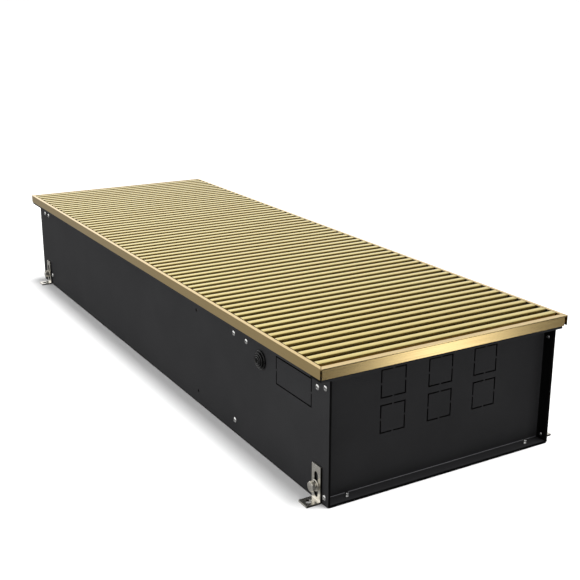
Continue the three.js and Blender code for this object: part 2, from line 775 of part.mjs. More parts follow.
// The return bend as a tube along a half circle, from the upper tube to the lower one.
function returnBend(radius) {
  const bendRadius = (knockoutHighZ - knockoutLowZ) / 2;
  const corners = [];
  for (let i = 0; i < tubeSides; i += 1) {
    const angle = (i + 0.5) * 2 * Math.PI / tubeSides;
    corners.push(new THREE.Vector2(bendRadius + radius * Math.cos(angle), radius * Math.sin(angle)));
  }
  corners.push(corners[0].clone());
  const ring = new THREE.LatheGeometry(corners, bendSteps);
  const whole = toSolid(ring.rotateZ(Math.PI / 2).rotateX(Math.PI / 2).rotateZ(Math.PI / 2)
    .translate(bendX, tubeY, tubeMiddleZ));
  const reach = bendRadius + 2 * radius;
  return whole.intersect(block([bendX - reach, bendX], [tubeY - reach, tubeY + reach],
    [tubeMiddleZ - reach, tubeMiddleZ + reach]));
}

function makeExchangerTube() {
  const inner = tubeRadius - tubeWall;
  const rows = [knockoutLowZ, knockoutHighZ];
  const outside = rows.map((z) => prism(
    'x', [tubeY, z], tubeRadius, bendX - joinOverlap, tubeEndX, tubeSides));
  const inside = rows.map((z) => prism(
    'x', [tubeY, z], inner, bendX - joinOverlap, tubeEndX + pastFace, tubeSides));
  return cutAll(joinAll([...outside, returnBend(tubeRadius)]), [joinAll([...inside, returnBend(inner)])]);
}

function makeExchangerStand(x, footSide) {
  const half = finWidth / 2;
  const body = joinAll([
    block([x, x + footSide * standSheet], [tubeY - half, tubeY + half], [insideFloor, standTop]),
    block([x, x + footSide * standFoot], [tubeY - half, tubeY + half],
      [insideFloor, insideFloor + standSheet]),
  ]);
  const holes = [knockoutLowZ, knockoutHighZ].map((z) => prism(
    'x', [tubeY, z], tubeHoleRadius, x - 2 * standSheet, x + 2 * standSheet, tubeSides));
  return cutAll(body, holes);
}

const nippleHexX = nippleStart + socketDepth + nippleWall;
const hexFlat = nippleHexRadius * Math.cos(Math.PI / hexSides);

function makeNipple(z) {
  const socketRadius = tubeHoleRadius + nippleWall;
  const hexEnd = nippleHexX + nippleHexLength;
  const threadEnd = hexEnd + nippleThreadLength;
  const body = joinAll([
    prism('x', [tubeY, z], socketRadius, nippleStart, nippleHexX + joinOverlap, tubeSides),
    prism('x', [tubeY, z], nippleHexRadius, nippleHexX, hexEnd, hexSides, Math.PI / hexSides),
    prism('x', [tubeY, z], nippleThreadRadius, hexEnd - joinOverlap, threadEnd, tubeSides),
  ]);
  return cutAll(body, [
    prism('x', [tubeY, z], tubeHoleRadius, nippleStart - pastFace, tubeEndX + fitGap, tubeSides),
    prism('x', [tubeY, z], waterwayRadius, nippleStart, threadEnd + pastFace, tubeSides),
  ]);
}

const ventX = nippleHexX + nippleHexLength / 2;
const ventBottom = knockoutHighZ + hexFlat + seatGap;
const ventTop = ventBottom + ventHeight;

function makeVentBody() {
  const body = prism('z', [ventX, tubeY], ventRadius, ventBottom, ventTop, ventSides);
  return body.subtract(prism('z', [ventX, tubeY], bleedRadius + fitGap,
    ventTop - ventBoreDepth, ventTop + pastFace, bleedSides));
}

function makeBleedScrew() {
  const headBottom = ventTop + seatGap;
  const headTop = headBottom + bleedHeadHeight;
  const body = joinAll([
    prism('z', [ventX, tubeY], bleedRadius, ventTop - ventBoreDepth + fitGap,
      headBottom + joinOverlap, bleedSides),
    prism('z', [ventX, tubeY], bleedHeadRadius, headBottom, headTop, bleedHeadSides),
  ]);
  const slot = block([ventX - 2 * bleedHeadRadius, ventX + 2 * bleedHeadRadius],
    [tubeY - bleedSlotWidth / 2, tubeY + bleedSlotWidth / 2], [headTop - bleedSlotDepth, headTop + pastFace]);
  return body.subtract(slot);
}

// ---- cross-flow fan ----

const cheekNearX = fanNearX + cheekGap;
const cheekFarX = fanFarX - cheekGap;
const shaftNearX = cheekNearX + cheekSheet + fitGap + shaftEngagement;
const shaftFarX = cheekFarX - cheekSheet - fitGap - shaftEngagement;

function makeFanRotor() {
  const blades = [];
  const bladeMiddle = fanRadius - bladeChord / 2 - discThickness / 2;
  for (let i = 0; i < bladeCount; i += 1) {
    const around = i * 2 * Math.PI / bladeCount;
    const middle = new THREE.Vector2(bladeMiddle, 0);
    const corners = [[-1, -1], [1, -1], [1, 1], [-1, 1]].map(([u, v]) => {
      const corner = new THREE.Vector2(u * bladeChord / 2, v * bladeThickness / 2)
        .rotateAround(new THREE.Vector2(0, 0), bladeLean).add(middle)
        .rotateAround(new THREE.Vector2(0, 0), around);
      return [fanY + corner.x, fanZ + corner.y];
    });
    blades.push(extrudeAlong('x', corners, fanFarX + discThickness / 2, fanNearX - discThickness / 2));
  }
  const discs = [];
  for (let i = 0; i <= fanRings + 1; i += 1) {
    const from = fanFarX + (fanLength - discThickness) * i / (fanRings + 1);
    const disc = prism('x', [fanY, fanZ], fanRadius, from, from + discThickness, discSides);
    const isRing = i > 0 && i <= fanRings;
    const eye = prism('x', [fanY, fanZ], fanRadius - ringWidth,
      from - pastFace, from + discThickness + pastFace, eyeSides);
    discs.push(isRing ? disc.subtract(eye) : disc);
  }
  const shafts = [
    prism('x', [fanY, fanZ], shaftRadius, fanNearX - discThickness / 2, shaftNearX, shaftSides),
    prism('x', [fanY, fanZ], shaftRadius, shaftFarX, fanFarX + discThickness / 2, shaftSides),
  ];
  return joinAll([...discs, ...blades, ...shafts]);
}

// A scroll round the rotor that opens towards the exchanger, between two standing cheeks.
function makeFanHousing() {
  const inner = fanRadius + housingGap;
  const outer = inner + housingSheet;
  const along = new THREE.Vector2(-Math.sin(housingEnd), Math.cos(housingEnd)).multiplyScalar(outletLength);
  const rim = (radius) => new THREE.Vector2(
    fanY + radius * Math.cos(housingEnd), fanZ + radius * Math.sin(housingEnd)).add(along);
  const scroll = new THREE.Shape()
    .absarc(fanY, fanZ, outer, housingStart, housingEnd, false)
    .lineTo(rim(outer).x, rim(outer).y)
    .lineTo(rim(inner).x, rim(inner).y)
    .absarc(fanY, fanZ, inner, housingEnd, housingStart, true);
  const cheek = (from, to) => block(
    [from, to], [fanY - cheekWidth / 2, fanY + cheekWidth / 2], [insideFloor, cheekTop]);
  const body = joinAll([
    extrudeAlong('x', scroll, cheekFarX - cheekSheet / 2, cheekNearX + cheekSheet / 2, scrollCurveSteps),
    cheek(cheekNearX, cheekNearX + cheekSheet),
    cheek(cheekFarX - cheekSheet, cheekFarX),
  ]);
  return cutAll(body, [
    prism('x', [fanY, fanZ], shaftHoleRadius + fitGap, cheekNearX - pastFace,
      cheekNearX + cheekSheet + pastFace, shaftSides),
    prism('x', [fanY, fanZ], shaftHoleRadius + fitGap, cheekFarX - cheekSheet - pastFace,
      cheekFarX + pastFace, shaftSides),
  ]);
}

function makeFanMotor() {
  const face = cheekNearX + cheekSheet + fitGap;
  const body = joinAll([
    prism('x', [fanY, fanZ], motorFlangeRadius, face, face + motorFlange, motorSides),
    prism('x', [fanY, fanZ], motorRadius, face + motorFlange / 2, face + motorLength, motorSides),
  ]);
  return body.subtract(
    prism('x', [fanY, fanZ], shaftHoleRadius, face - pastFace, shaftNearX + fitGap, shaftSides));
}

function makeFanBearing() {
  const face = cheekFarX - cheekSheet - fitGap;
  return prism('x', [fanY, fanZ], bearingRadius, face - bearingLength, face, bearingSides)
    .subtract(prism('x', [fanY, fanZ], shaftHoleRadius, face - bearingLength - pastFace,
      face + pastFace, shaftSides));
}

// ---- terminal box and grommet ----

const boxLowX = boxFarRivetX + boxRivetRoom;
const boxHighX = boxNearRivetX - boxRivetRoom;
const boxBackY = -insideY;
const boxFrontY = boxBackY + boxDepth;

function makeTerminalBox() {
  const body = joinAll([
    block([boxFarRivetX - boxEar, boxNearRivetX + boxEar], [boxBackY, boxBackY + sheet],
      [boxBottom, boxTop]),
    block([boxLowX, boxHighX], [boxBackY, boxFrontY], [boxBottom, boxTop]),
  ]);
  const hollow = block([boxLowX + boxWall, boxHighX - boxWall], [boxBackY + sheet, boxFrontY - boxWall],
    [boxBottom + boxWall, boxTop + pastFace]);
  const entryHalfLength = cableKnockoutLength / 2 + slitWidth;
  const entryHalfHeight = cableKnockoutHeight / 2 + slitWidth;
  const entry = block(
    [cableKnockoutX - entryHalfLength, cableKnockoutX + entryHalfLength - 2 * slitWidth],
    [boxBackY - pastFace, boxBackY + sheet + pastFace],
    [cableKnockoutZ - entryHalfHeight, cableKnockoutZ + entryHalfHeight]);
  return cutAll(body, [
    hollow,
    entry,
    wallCutter(-1, grommetX, grommetZ, grommetHoleRadius, grommetSides),
    ...wallRivetHoles((name) => name.startsWith('box')),
  ]);
}

function makeTerminalLid() {
  const bottom = boxTop + fitGap;
  const inset = boxWall + fitGap;
  const cover = block([boxLowX, boxHighX], [boxBackY + sheet + fitGap, boxFrontY],
    [bottom, bottom + lidThickness]);
  const rimXs = [boxLowX + inset, boxHighX - inset];
  const rimYs = [boxBackY + sheet + 2 * fitGap, boxFrontY - inset];
  const rimOuter = block(rimXs, rimYs, [boxTop - lidRim, bottom + lidThickness / 2]);
  const rimInner = block([rimXs[0] + lidThickness, rimXs[1] - lidThickness],
    [rimYs[0] + lidThickness, rimYs[1] - lidThickness], [boxTop - lidRim - pastFace, bottom]);
  return cover.add(rimOuter.subtract(rimInner));
}

function makeTerminalBlock() {
  const middleX = (boxLowX + boxHighX) / 2;
  const middleY = boxFrontY - boxWall - fitGap - blockWidth / 2;
  const bottom = boxBottom + boxWall + seatGap;
  const body = block([middleX - blockLength / 2, middleX + blockLength / 2],
    [middleY - blockWidth / 2, middleY + blockWidth / 2], [bottom, bottom + blockHeight]);
  const wells = [];
  for (let i = 0; i < blockWells; i += 1) {
    const x = middleX + (i - (blockWells - 1) / 2) * blockLength / blockWells;
    wells.push(block([x - blockWellSize / 2, x + blockWellSize / 2],
      [middleY - blockWellSize / 2, middleY + blockWellSize / 2],
      [bottom + blockHeight / 2, bottom + blockHeight + pastFace]));
  }
  return cutAll(body, wells);
}

// A stepped rubber cone outside the wall, a neck through it and a flange inside.
function makeGrommet() {
  const inside = -(sheet + fitGap + sheet + seatGap);
  const profile = [
    [grommetBore, inside - grommetInnerFlange],
    [grommetBase, inside - grommetInnerFlange],
    [grommetBase, inside],
    [grommetNeck, inside],
    [grommetNeck, seatGap],
    [grommetBase, seatGap],
    [grommetBase, grommetBaseHeight],
  ];
  const stepIn = (grommetBase - grommetBore) / (grommetSteps + 1);
  for (let i = 1; i <= grommetSteps; i += 1) {
    const from = grommetBaseHeight + (i - 1) * grommetStepHeight;
    profile.push([grommetBase - i * stepIn, from], [grommetBase - i * stepIn, from + grommetStepHeight]);
  }
  profile.push([grommetBore, grommetBaseHeight + grommetSteps * grommetStepHeight]);
  profile.push(profile[0]);
  const grommet = namedMesh('cable_grommet', turned(profile, grommetSides), finish.rubber);
  grommet.position.set(grommetX, -wallOuter, grommetZ);
  grommet.rotation.x = Math.PI / 2;
  return grommet;
}

// ---- the heater ----

const heater = new THREE.Group();
heater.add(namedMesh('trough', makeTrough(), finish.blackSteel));
heater.add(namedMesh('end_plate_near', makeNearPlate(), finish.blackSteel));
heater.add(namedMesh('end_plate_far', makeFarPlate(), finish.blackSteel));
heater.add(namedMesh('partition', makePartition(), finish.blackSteel));
heater.add(makeWallRivets());
heater.add(makeFloorRivets());
heater.add(makeFrame());
heater.add(namedMesh('roll_up_grille', makeGrille(), finish.brassAnodised));
heater.add(namedMesh('damping_strip_front', makeDampingStrip(-1), finish.rubber));
heater.add(namedMesh('damping_strip_back', makeDampingStrip(1), finish.rubber));
heater.add(makeBracketSets());
heater.add(namedMesh('fin_pack', makeFinPack(), finish.finAluminium));
heater.add(namedMesh('exchanger_tube', makeExchangerTube(), finish.copper));
heater.add(namedMesh('exchanger_stand_near', makeExchangerStand(standNearX, 1), finish.zincSteel));
heater.add(namedMesh('exchanger_stand_far', makeExchangerStand(standFarX, -1), finish.zincSteel));
heater.add(namedMesh('connection_supply', makeNipple(knockoutLowZ), finish.brass));
heater.add(namedMesh('connection_return', makeNipple(knockoutHighZ), finish.brass));
heater.add(namedMesh('air_vent_body', makeVentBody(), finish.brass));
heater.add(namedMesh('bleed_screw', makeBleedScrew(), finish.brass));
heater.add(namedMesh('fan_rotor', makeFanRotor(), finish.darkPlastic));
heater.add(namedMesh('fan_housing', makeFanHousing(), finish.zincSteel));
heater.add(namedMesh('fan_motor', makeFanMotor(), finish.zincSteel));
heater.add(namedMesh('fan_bearing', makeFanBearing(), finish.darkPlastic));
heater.add(namedMesh('terminal_box', makeTerminalBox(), finish.darkPlastic));
heater.add(namedMesh('terminal_lid', makeTerminalLid(), finish.darkPlastic));
heater.add(namedMesh('terminal_block', makeTerminalBlock(), finish.darkPlastic));
heater.add(makeGrommet());

export default heater;
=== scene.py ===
import json
import math

import bmesh
import bpy
from mathutils import Matrix, Vector

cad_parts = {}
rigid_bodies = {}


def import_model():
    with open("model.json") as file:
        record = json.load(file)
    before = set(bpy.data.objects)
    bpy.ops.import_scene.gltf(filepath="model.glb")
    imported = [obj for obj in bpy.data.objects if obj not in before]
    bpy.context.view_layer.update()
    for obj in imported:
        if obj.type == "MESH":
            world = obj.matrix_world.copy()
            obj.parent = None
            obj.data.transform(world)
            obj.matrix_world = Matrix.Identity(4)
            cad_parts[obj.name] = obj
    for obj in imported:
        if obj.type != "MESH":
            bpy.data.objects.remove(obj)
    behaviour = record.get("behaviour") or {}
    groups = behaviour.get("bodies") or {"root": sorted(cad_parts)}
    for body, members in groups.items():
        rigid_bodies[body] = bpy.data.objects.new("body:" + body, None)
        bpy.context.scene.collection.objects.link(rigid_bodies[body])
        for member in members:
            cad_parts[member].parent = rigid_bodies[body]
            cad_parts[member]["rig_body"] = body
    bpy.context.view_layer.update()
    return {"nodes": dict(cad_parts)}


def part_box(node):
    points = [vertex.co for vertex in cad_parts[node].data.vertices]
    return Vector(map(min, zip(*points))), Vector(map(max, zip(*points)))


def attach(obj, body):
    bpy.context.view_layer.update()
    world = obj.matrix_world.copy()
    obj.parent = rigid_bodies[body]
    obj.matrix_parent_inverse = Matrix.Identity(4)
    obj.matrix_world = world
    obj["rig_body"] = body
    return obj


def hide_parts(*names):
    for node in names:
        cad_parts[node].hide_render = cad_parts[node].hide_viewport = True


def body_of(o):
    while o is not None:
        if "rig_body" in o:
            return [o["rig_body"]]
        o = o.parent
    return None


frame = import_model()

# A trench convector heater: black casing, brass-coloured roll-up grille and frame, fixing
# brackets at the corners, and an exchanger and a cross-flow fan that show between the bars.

mm = 0.001
fullTurn = 2 * math.pi


# Materials

def hexColour(text):
    channels = [int(text[i:i + 2], 16) / 255 for i in (1, 3, 5)]
    return [c / 12.92 if c <= 0.04045 else ((c + 0.055) / 1.055) ** 2.4 for c in channels] + [1]


def addNode(tree, kind, settings=None, inputs=None):
    node = tree.nodes.new("ShaderNode" + kind)
    for name, value in (settings or {}).items():
        setattr(node, name, value)
    for name, value in (inputs or {}).items():
        if isinstance(value, bpy.types.NodeSocket):
            tree.links.new(value, node.inputs[name])
        else:
            node.inputs[name].default_value = value
    return node


def startMaterial(name, values):
    material = bpy.data.materials.new(name)
    material.use_nodes = True
    tree = material.node_tree
    shader = tree.nodes["Principled BSDF"]
    for socket, value in values.items():
        shader.inputs[socket].default_value = value
    return material, tree, shader


def stretched(tree, grain, longAxis=None, length=1):
    # Object coordinates counted in grains of a real size, drawn out along one axis
    scale = [1 / (grain * mm)] * 3
    if longAxis is not None:
        scale["xyz".index(longAxis)] = 1 / (length * mm)
    coords = addNode(tree, "TexCoord").outputs["Object"]
    return addNode(tree, "Mapping", None, {"Vector": coords, "Scale": scale}).outputs["Vector"]


def noise(tree, vector, detail=2):
    return addNode(tree, "TexNoise", None, {"Vector": vector, "Scale": 1, "Detail": detail}).outputs["Fac"]


def spread(tree, value, low, high, fromLow=0.3, fromHigh=0.7):
    span = {"From Min": fromLow, "From Max": fromHigh, "To Min": low, "To Max": high}
    return addNode(tree, "MapRange", None, {"Value": value, **span}).outputs["Result"]


def blendColours(tree, factor, first, second):
    mix = addNode(tree, "Mix", {"data_type": "RGBA"}, {0: factor, 6: first, 7: second})
    return mix.outputs[2]


def drift(tree, cloud, first, second):
    # One colour drifting softly to another with the clouds
    return blendColours(tree, spread(tree, cloud, 0, 1), hexColour(first), hexColour(second))


def bump(tree, height, depth, under=None):
    inputs = {"Height": height, "Distance": depth * mm, "Strength": 1}
    if under is not None:
        inputs["Normal"] = under
    return addNode(tree, "Bump", None, inputs).outputs["Normal"]


def paint(tree, shader, colour, roughness, normal=None):
    links = {"Base Color": colour, "Roughness": roughness, "Normal": normal}
    for socket, source in links.items():
        if source is not None:
            tree.links.new(source, shader.inputs[socket])


def makePowderCoat(coat):
    # Black polyester powder coat, sprayed and baked on steel: a low sheen over faint orange peel
    values = {"IOR": 1.5, "Specular IOR Level": coat["specular"]}
    material, tree, shader = startMaterial(coat["name"], values)
    peel = noise(tree, stretched(tree, coat["peel"]))
    grain = noise(tree, stretched(tree, coat["grain"]), 3)
    cloud = noise(tree, stretched(tree, coat["cloud"]), 3)
    tone = drift(tree, cloud, coat["colour"], coat["paler"])
    speck = spread(tree, grain, 0, coat["speck"], 0.62, 0.8)
    colour = blendColours(tree, speck, tone, hexColour(coat["fleck"]))
    normal = bump(tree, grain, coat["grainDepth"], under=bump(tree, peel, coat["peelDepth"]))
    paint(tree, shader, colour, spread(tree, grain, *coat["sheen"]), normal)
    return material


def makeAnodised(gold, name, longAxis):
    # Extruded aluminium, etched satin and anodised brass: fine die lines along each length
    material, tree, shader = startMaterial(name, {"Metallic": 1})
    lines = noise(tree, stretched(tree, gold["line"], longAxis, gold["lineLength"]), 3)
    cloud = noise(tree, stretched(tree, gold["cloud"], longAxis, 4 * gold["cloud"]), 2)
    tone = drift(tree, cloud, gold["colour"], gold["paler"])
    tint = spread(tree, lines, 0, gold["lineTint"])
    colour = blendColours(tree, tint, tone, hexColour(gold["lineColour"]))
    paint(tree, shader, colour, spread(tree, lines, *gold["satin"]), bump(tree, lines, gold["lineDepth"]))
    return material


def makeMetal(name, metal):
    # Bare or plated metal with the marks of drawing, turning or rolling along one axis
    material, tree, shader = startMaterial(name, {"Metallic": 1})
    marks = noise(tree, stretched(tree, metal["mark"], metal.get("along"), metal.get("markLength", 1)), 3)
    cloud = noise(tree, stretched(tree, metal["cloud"]), 3)
    colour = drift(tree, cloud, metal["colour"], metal["duller"])
    normal = bump(tree, marks, metal["markDepth"])
    paint(tree, shader, colour, spread(tree, marks, *metal["satin"]), normal)
    return material


def makeSpangled(name, zinc):
    # Hot-dip galvanised sheet: frosty crystals of zinc, each with its own tone and gloss
    material, tree, shader = startMaterial(name, {"Metallic": 1})
    crystals = addNode(tree, "TexVoronoi", {"feature": "F1"}, {
        "Vector": stretched(tree, zinc["crystal"]), "Scale": 1, "Randomness": 1})
    shade = addNode(tree, "SeparateColor", None, {"Color": crystals.outputs["Color"]}).outputs["Red"]
    colour = blendColours(tree, shade, hexColour(zinc["colour"]), hexColour(zinc["duller"]))
    paint(tree, shader, colour, spread(tree, shade, *zinc["satin"], 0, 1))
    return material


def makeMoulded(name, moulding):
    # Moulded plastic or rubber: a spark-eroded grain and a cloudy, slightly uneven skin
    material, tree, shader = startMaterial(name, {"IOR": moulding["ior"]})
    grain = noise(tree, stretched(tree, moulding["grain"]), 3)
    cloud = noise(tree, stretched(tree, moulding["cloud"]), 2)
    colour = drift(tree, cloud, moulding["colour"], moulding["paler"])
    normal = bump(tree, grain, moulding["grainDepth"])
    paint(tree, shader, colour, spread(tree, grain, *moulding["sheen"]), normal)
    return material


# Sizes in a material's settings are millimetres
powderCoat = {
    "name": "powderCoatedSteel", "colour": "#272728", "paler": "#2a2a2b", "fleck": "#343436",
    "specular": 0.02,     # held low, for the coat shows hardly any gloss
    "peel": 1.6,          # orange peel
    "grain": 0.7,         # real grain is near 0.1 mm, which wouldn't show
    "cloud": 60, "speck": 0.4, "sheen": (0.46, 0.56), "grainDepth": 0.02, "peelDepth": 0.03,
}
# Cut edges and inside faces, painted near black and flat as painted shade
shadeBlackCoat = dict(
    powderCoat, name="powderCoatPaintedShade", colour="#030303", paler="#060606", fleck="#0a0a0a",
    specular=0.08, speck=0.3, sheen=(0.6, 0.7), peelDepth=0.02)
# The end plates' inner folds, painted a lighter grey as a fine painted highlight line
foldHighlightCoat = dict(
    powderCoat, name="powderCoatPaintedFoldHighlight", colour="#5b5b5e", paler="#626265", fleck="#4c4c4f",
    specular=0.5, speck=0.3, sheen=(0.25, 0.35), grainDepth=0.01, peelDepth=0.01)
goldAnodising = {
    "colour": "#e6cf7d", "paler": "#ecda8a", "lineColour": "#dcc66e", "lineTint": 0.35,
    "line": 0.5,          # die lines are near 0.1 mm apart, which wouldn't show
    "lineLength": 90, "cloud": 40, "satin": (0.15, 0.2), "lineDepth": 0.004,
}
# The frame is a warmer gold than the bars and a little smoother
frameAnodising = dict(
    goldAnodising, colour="#e6c98c", paler="#e9ce94", lineColour="#dabb7c", satin=(0.13, 0.17))
# The bars' sides are rougher than their tops, and painted a darker gold as painted shade in the gaps
shadedWebAnodising = dict(
    goldAnodising, colour="#cab36b", paler="#d0ba73", lineColour="#bfa863", satin=(0.42, 0.52))
# Painted shade in joints, grooves and on the bars' ends, where hardly any light gets in: brown black
shadedAnodising = dict(
    goldAnodising, colour="#0f0b06", paler="#141008", lineColour="#0b0804", lineTint=0.3, satin=(0.5, 0.6),
    lineDepth=0.005)
brightAluminium = {
    "colour": "#e4e4e2", "duller": "#c9c9c8", "mark": 0.3, "cloud": 2,
    "satin": (0.14, 0.24), "markDepth": 0.004,
}
drawnSteel = {
    "colour": "#6f6e6b", "duller": "#4d4c4a", "mark": 0.3, "cloud": 2,
    "satin": (0.3, 0.45), "markDepth": 0.01,
}
warmStainless = {
    "colour": "#efece3", "duller": "#dad5ca", "mark": 0.35, "along": "z", "markLength": 9, "cloud": 6,
    "satin": (0.22, 0.32), "markDepth": 0.008,
}
# The brackets' cut edges, painted darker than their faces as painted shade
paintedShadeStainless = {
    "colour": "#4b4843", "duller": "#3a3733", "mark": 0.3, "cloud": 3,
    "satin": (0.35, 0.5), "markDepth": 0.015,
}
drawnCopper = {
    "colour": "#c07d57", "duller": "#8f5338", "mark": 0.5, "along": "x", "markLength": 40, "cloud": 14,
    "satin": (0.25, 0.42), "markDepth": 0.01,
}
turnedBrass = {
    "colour": "#cbb069", "duller": "#ae9250", "mark": 0.5, "cloud": 8,
    "satin": (0.2, 0.34), "markDepth": 0.01,
}
lacqueredFin = {
    "colour": "#2b2b2d", "duller": "#1d1d1f", "mark": 0.8, "cloud": 25,
    "satin": (0.4, 0.55), "markDepth": 0.02,
}
galvanising = {"colour": "#a9acaf", "duller": "#85888c", "crystal": 7, "satin": (0.3, 0.5)}
blackRubber = {
    "colour": "#060606", "paler": "#090909", "ior": 1.52, "grain": 0.6, "cloud": 8, "sheen": (0.22, 0.32),
    "grainDepth": 0.02,
}
blackPlastic = {
    "colour": "#141416", "paler": "#1b1b1d", "ior": 1.5, "grain": 0.5, "cloud": 20, "sheen": (0.42, 0.55),
    "grainDepth": 0.02,
}

finishes = {
    "coat": makePowderCoat(powderCoat),
    "coatPaintedShade": makePowderCoat(shadeBlackCoat),
    "coatFoldHighlight": makePowderCoat(foldHighlightCoat),
    "bar": makeAnodised(goldAnodising, "anodisedAluminiumBar", "y"),
    "barWeb": makeAnodised(shadedWebAnodising, "anodisedAluminiumBarSidesShaded", "y"),
    "goldAcross": makeAnodised(frameAnodising, "anodisedAluminiumAcross", "y"),
    "goldAlong": makeAnodised(frameAnodising, "anodisedAluminiumAlong", "x"),
    "goldPaintedShade": makeAnodised(shadedAnodising, "anodisedAluminiumPaintedShade", "z"),
    "rivet": makeMetal("brightRivetAluminium", brightAluminium),
    "mandrel": makeMetal("drawnMandrelSteel", drawnSteel),
    "stainless": makeMetal("brushedStainlessSteel", warmStainless),
    "stainlessShadedEdge": makeMetal("stainlessSteelPaintedShade", paintedShadeStainless),
    "copper": makeMetal("drawnCopperTube", drawnCopper),
    "brass": makeMetal("turnedBrass", turnedBrass),
    "fin": makeMetal("lacqueredFinAluminium", lacqueredFin),
    "zinc": makeSpangled("galvanisedSheet", galvanising),
    "rubber": makeMoulded("mouldedRubber", blackRubber),
    "plastic": makeMoulded("mouldedPlastic", blackPlastic),
}
print("materials made")


# Mesh tools

def bodyOf(nodeName):
    return body_of(frame["nodes"][nodeName])[0]


def middleOf(nodeName):
    low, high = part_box(nodeName)
    return (low + high) / 2


def footOf(nodeName):
    # A place in the middle of a node's underside
    middle = middleOf(nodeName)
    return Matrix.Translation((middle.x, middle.y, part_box(nodeName)[0].z))


def facingX(x, y, z):
    # A place whose local Z points along X
    return Matrix.Translation((x, y, z)) @ Matrix.Rotation(math.pi / 2, 4, "Y")


def farEndOf(nodeName):
    # A place in the middle of a node's far end, with local Z along X
    middle = middleOf(nodeName)
    return facingX(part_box(nodeName)[0].x, middle.y, middle.z)


def onlyVerts(geometry):
    return [item for item in geometry if isinstance(item, bmesh.types.BMVert)]


def onlyEdges(geometry):
    return [item for item in geometry if isinstance(item, bmesh.types.BMEdge)]


def fixNormals(bm):
    bmesh.ops.recalc_face_normals(bm, faces=bm.faces)


def cadCopy(nodeName):
    # The CAD shape, its loose triangles joined up into whole faces
    bm = bmesh.new()
    bm.from_mesh(frame["nodes"][nodeName].data)
    bmesh.ops.remove_doubles(bm, verts=bm.verts, dist=0.002 * mm)
    bmesh.ops.dissolve_limit(bm, angle_limit=math.radians(1), verts=bm.verts, edges=bm.edges)
    return bm


def finishPiece(bm, name, finish, nodeName, stands=True, sharp=35, place=None):
    # Turns a bmesh into a named piece that rides with its node's body and, mostly, stands for it
    if place is not None:
        bmesh.ops.transform(bm, matrix=place, verts=bm.verts)
    mesh = bpy.data.meshes.new(name)
    bm.to_mesh(mesh)
    bm.free()
    mesh.shade_smooth()
    mesh.set_sharp_from_angle(angle=math.radians(sharp))
    piece = bpy.data.objects.new(name, mesh)
    bpy.context.scene.collection.objects.link(piece)
    mesh.materials.append(finishes[finish])
    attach(piece, bodyOf(nodeName))
    if stands:
        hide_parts(nodeName)
    return piece


def addBevel(piece, width, segments=2, angle=30):
    bevel = piece.modifiers.new("rolledEdges", "BEVEL")
    bevel.width = width * mm
    bevel.segments = segments
    bevel.limit_method = "ANGLE"
    bevel.angle_limit = math.radians(angle)
    bevel.harden_normals = True
    return piece


def rolledCopy(nodeName, name, finish, edge):
    # The CAD shape with the small radius that folding, moulding and coating leave on its edges
    return addBevel(finishPiece(cadCopy(nodeName), name, finish, nodeName), edge)


def turn(bm, points, steps=32):
    # Spins a profile of (radius, height) points round Z
    corners = [bm.verts.new((radius * mm, 0, height * mm)) for radius, height in points]
    edges = [bm.edges.new(pair) for pair in zip(corners, corners[1:])]
    bmesh.ops.spin(bm, geom=corners + edges, cent=(0, 0, 0), axis=(0, 0, 1), angle=fullTurn, steps=steps,
                   use_merge=True)
    bmesh.ops.remove_doubles(bm, verts=bm.verts, dist=0.0005 * mm)
    fixNormals(bm)


def arc(centre, radius, start, end, steps):
    angles = [math.radians(start + (end - start) * i / steps) for i in range(steps + 1)]
    return [(centre[0] + radius * math.cos(a), centre[1] + radius * math.sin(a)) for a in angles]


def addThread(bm, radius, pitch, low, high, steps=16):
    # A ridge wound up a shank: one tooth's section, spun and lifted
    depth = 0.6 * pitch
    tooth = [(radius - depth, -0.45 * pitch), (radius, -0.06 * pitch), (radius, 0.06 * pitch),
             (radius - depth, 0.45 * pitch)]
    turns = int((high - low) / pitch - 1)
    corners = [bm.verts.new((r * mm, 0, (low + pitch / 2 + z) * mm)) for r, z in tooth]
    face = bm.faces.new(corners)
    bmesh.ops.spin(bm, geom=[face], cent=(0, 0, 0), axis=(0, 0, 1), dvec=(0, 0, pitch * mm / steps),
                   angle=fullTurn * turns, steps=steps * turns)
    fixNormals(bm)


def addRing(bm, flat, height, isHexagon=False, drop=0.0):
    # A loop of edges, round or pushed out to a hexagon's flats, whose corners may sink by drop
    made = bmesh.ops.create_circle(bm, segments=24, radius=flat * mm)
    for corner in made["verts"]:
        angle = math.atan2(corner.co.y, corner.co.x)
        offFlat = (angle + math.pi / 6) % (math.pi / 3) - math.pi / 6
        reach = 1 / math.cos(offFlat) if isHexagon else 1
        sink = drop * flat * (reach - 1)
        corner.co = Vector((corner.co.x * reach, corner.co.y * reach, (height - sink) * mm))
    return list({edge for corner in made["verts"] for edge in corner.link_edges})


def addHexagon(bm, flat, low, high, bore=0.0):
    # A bolt head or nut: hexagon with cone-cut corners, bored right through if it has a bore
    slope = math.tan(math.radians(30))
    rings = [
        addRing(bm, flat, high),
        addRing(bm, flat, high, True, slope),
        addRing(bm, flat, low, True, -slope),
        addRing(bm, flat, low),
    ]
    if bore:
        rings += [addRing(bm, bore + 0.4, low), addRing(bm, bore, low + 0.4),
                  addRing(bm, bore, high - 0.4), addRing(bm, bore + 0.4, high)]
        rings.append(rings[0])
    else:
        bmesh.ops.edgeloop_fill(bm, edges=rings[0])
        bmesh.ops.edgeloop_fill(bm, edges=rings[-1])
    for first, second in zip(rings, rings[1:]):
        bmesh.ops.bridge_loops(bm, edges=first + second)
    fixNormals(bm)


def repeat(bm, geometry, steps):
    # Copies a finished shape to each of a list of matrices, and leaves the first where it is
    for step in steps:
        copied = bmesh.ops.duplicate(bm, geom=geometry)["geom"]
        bmesh.ops.transform(bm, matrix=step, verts=onlyVerts(copied))


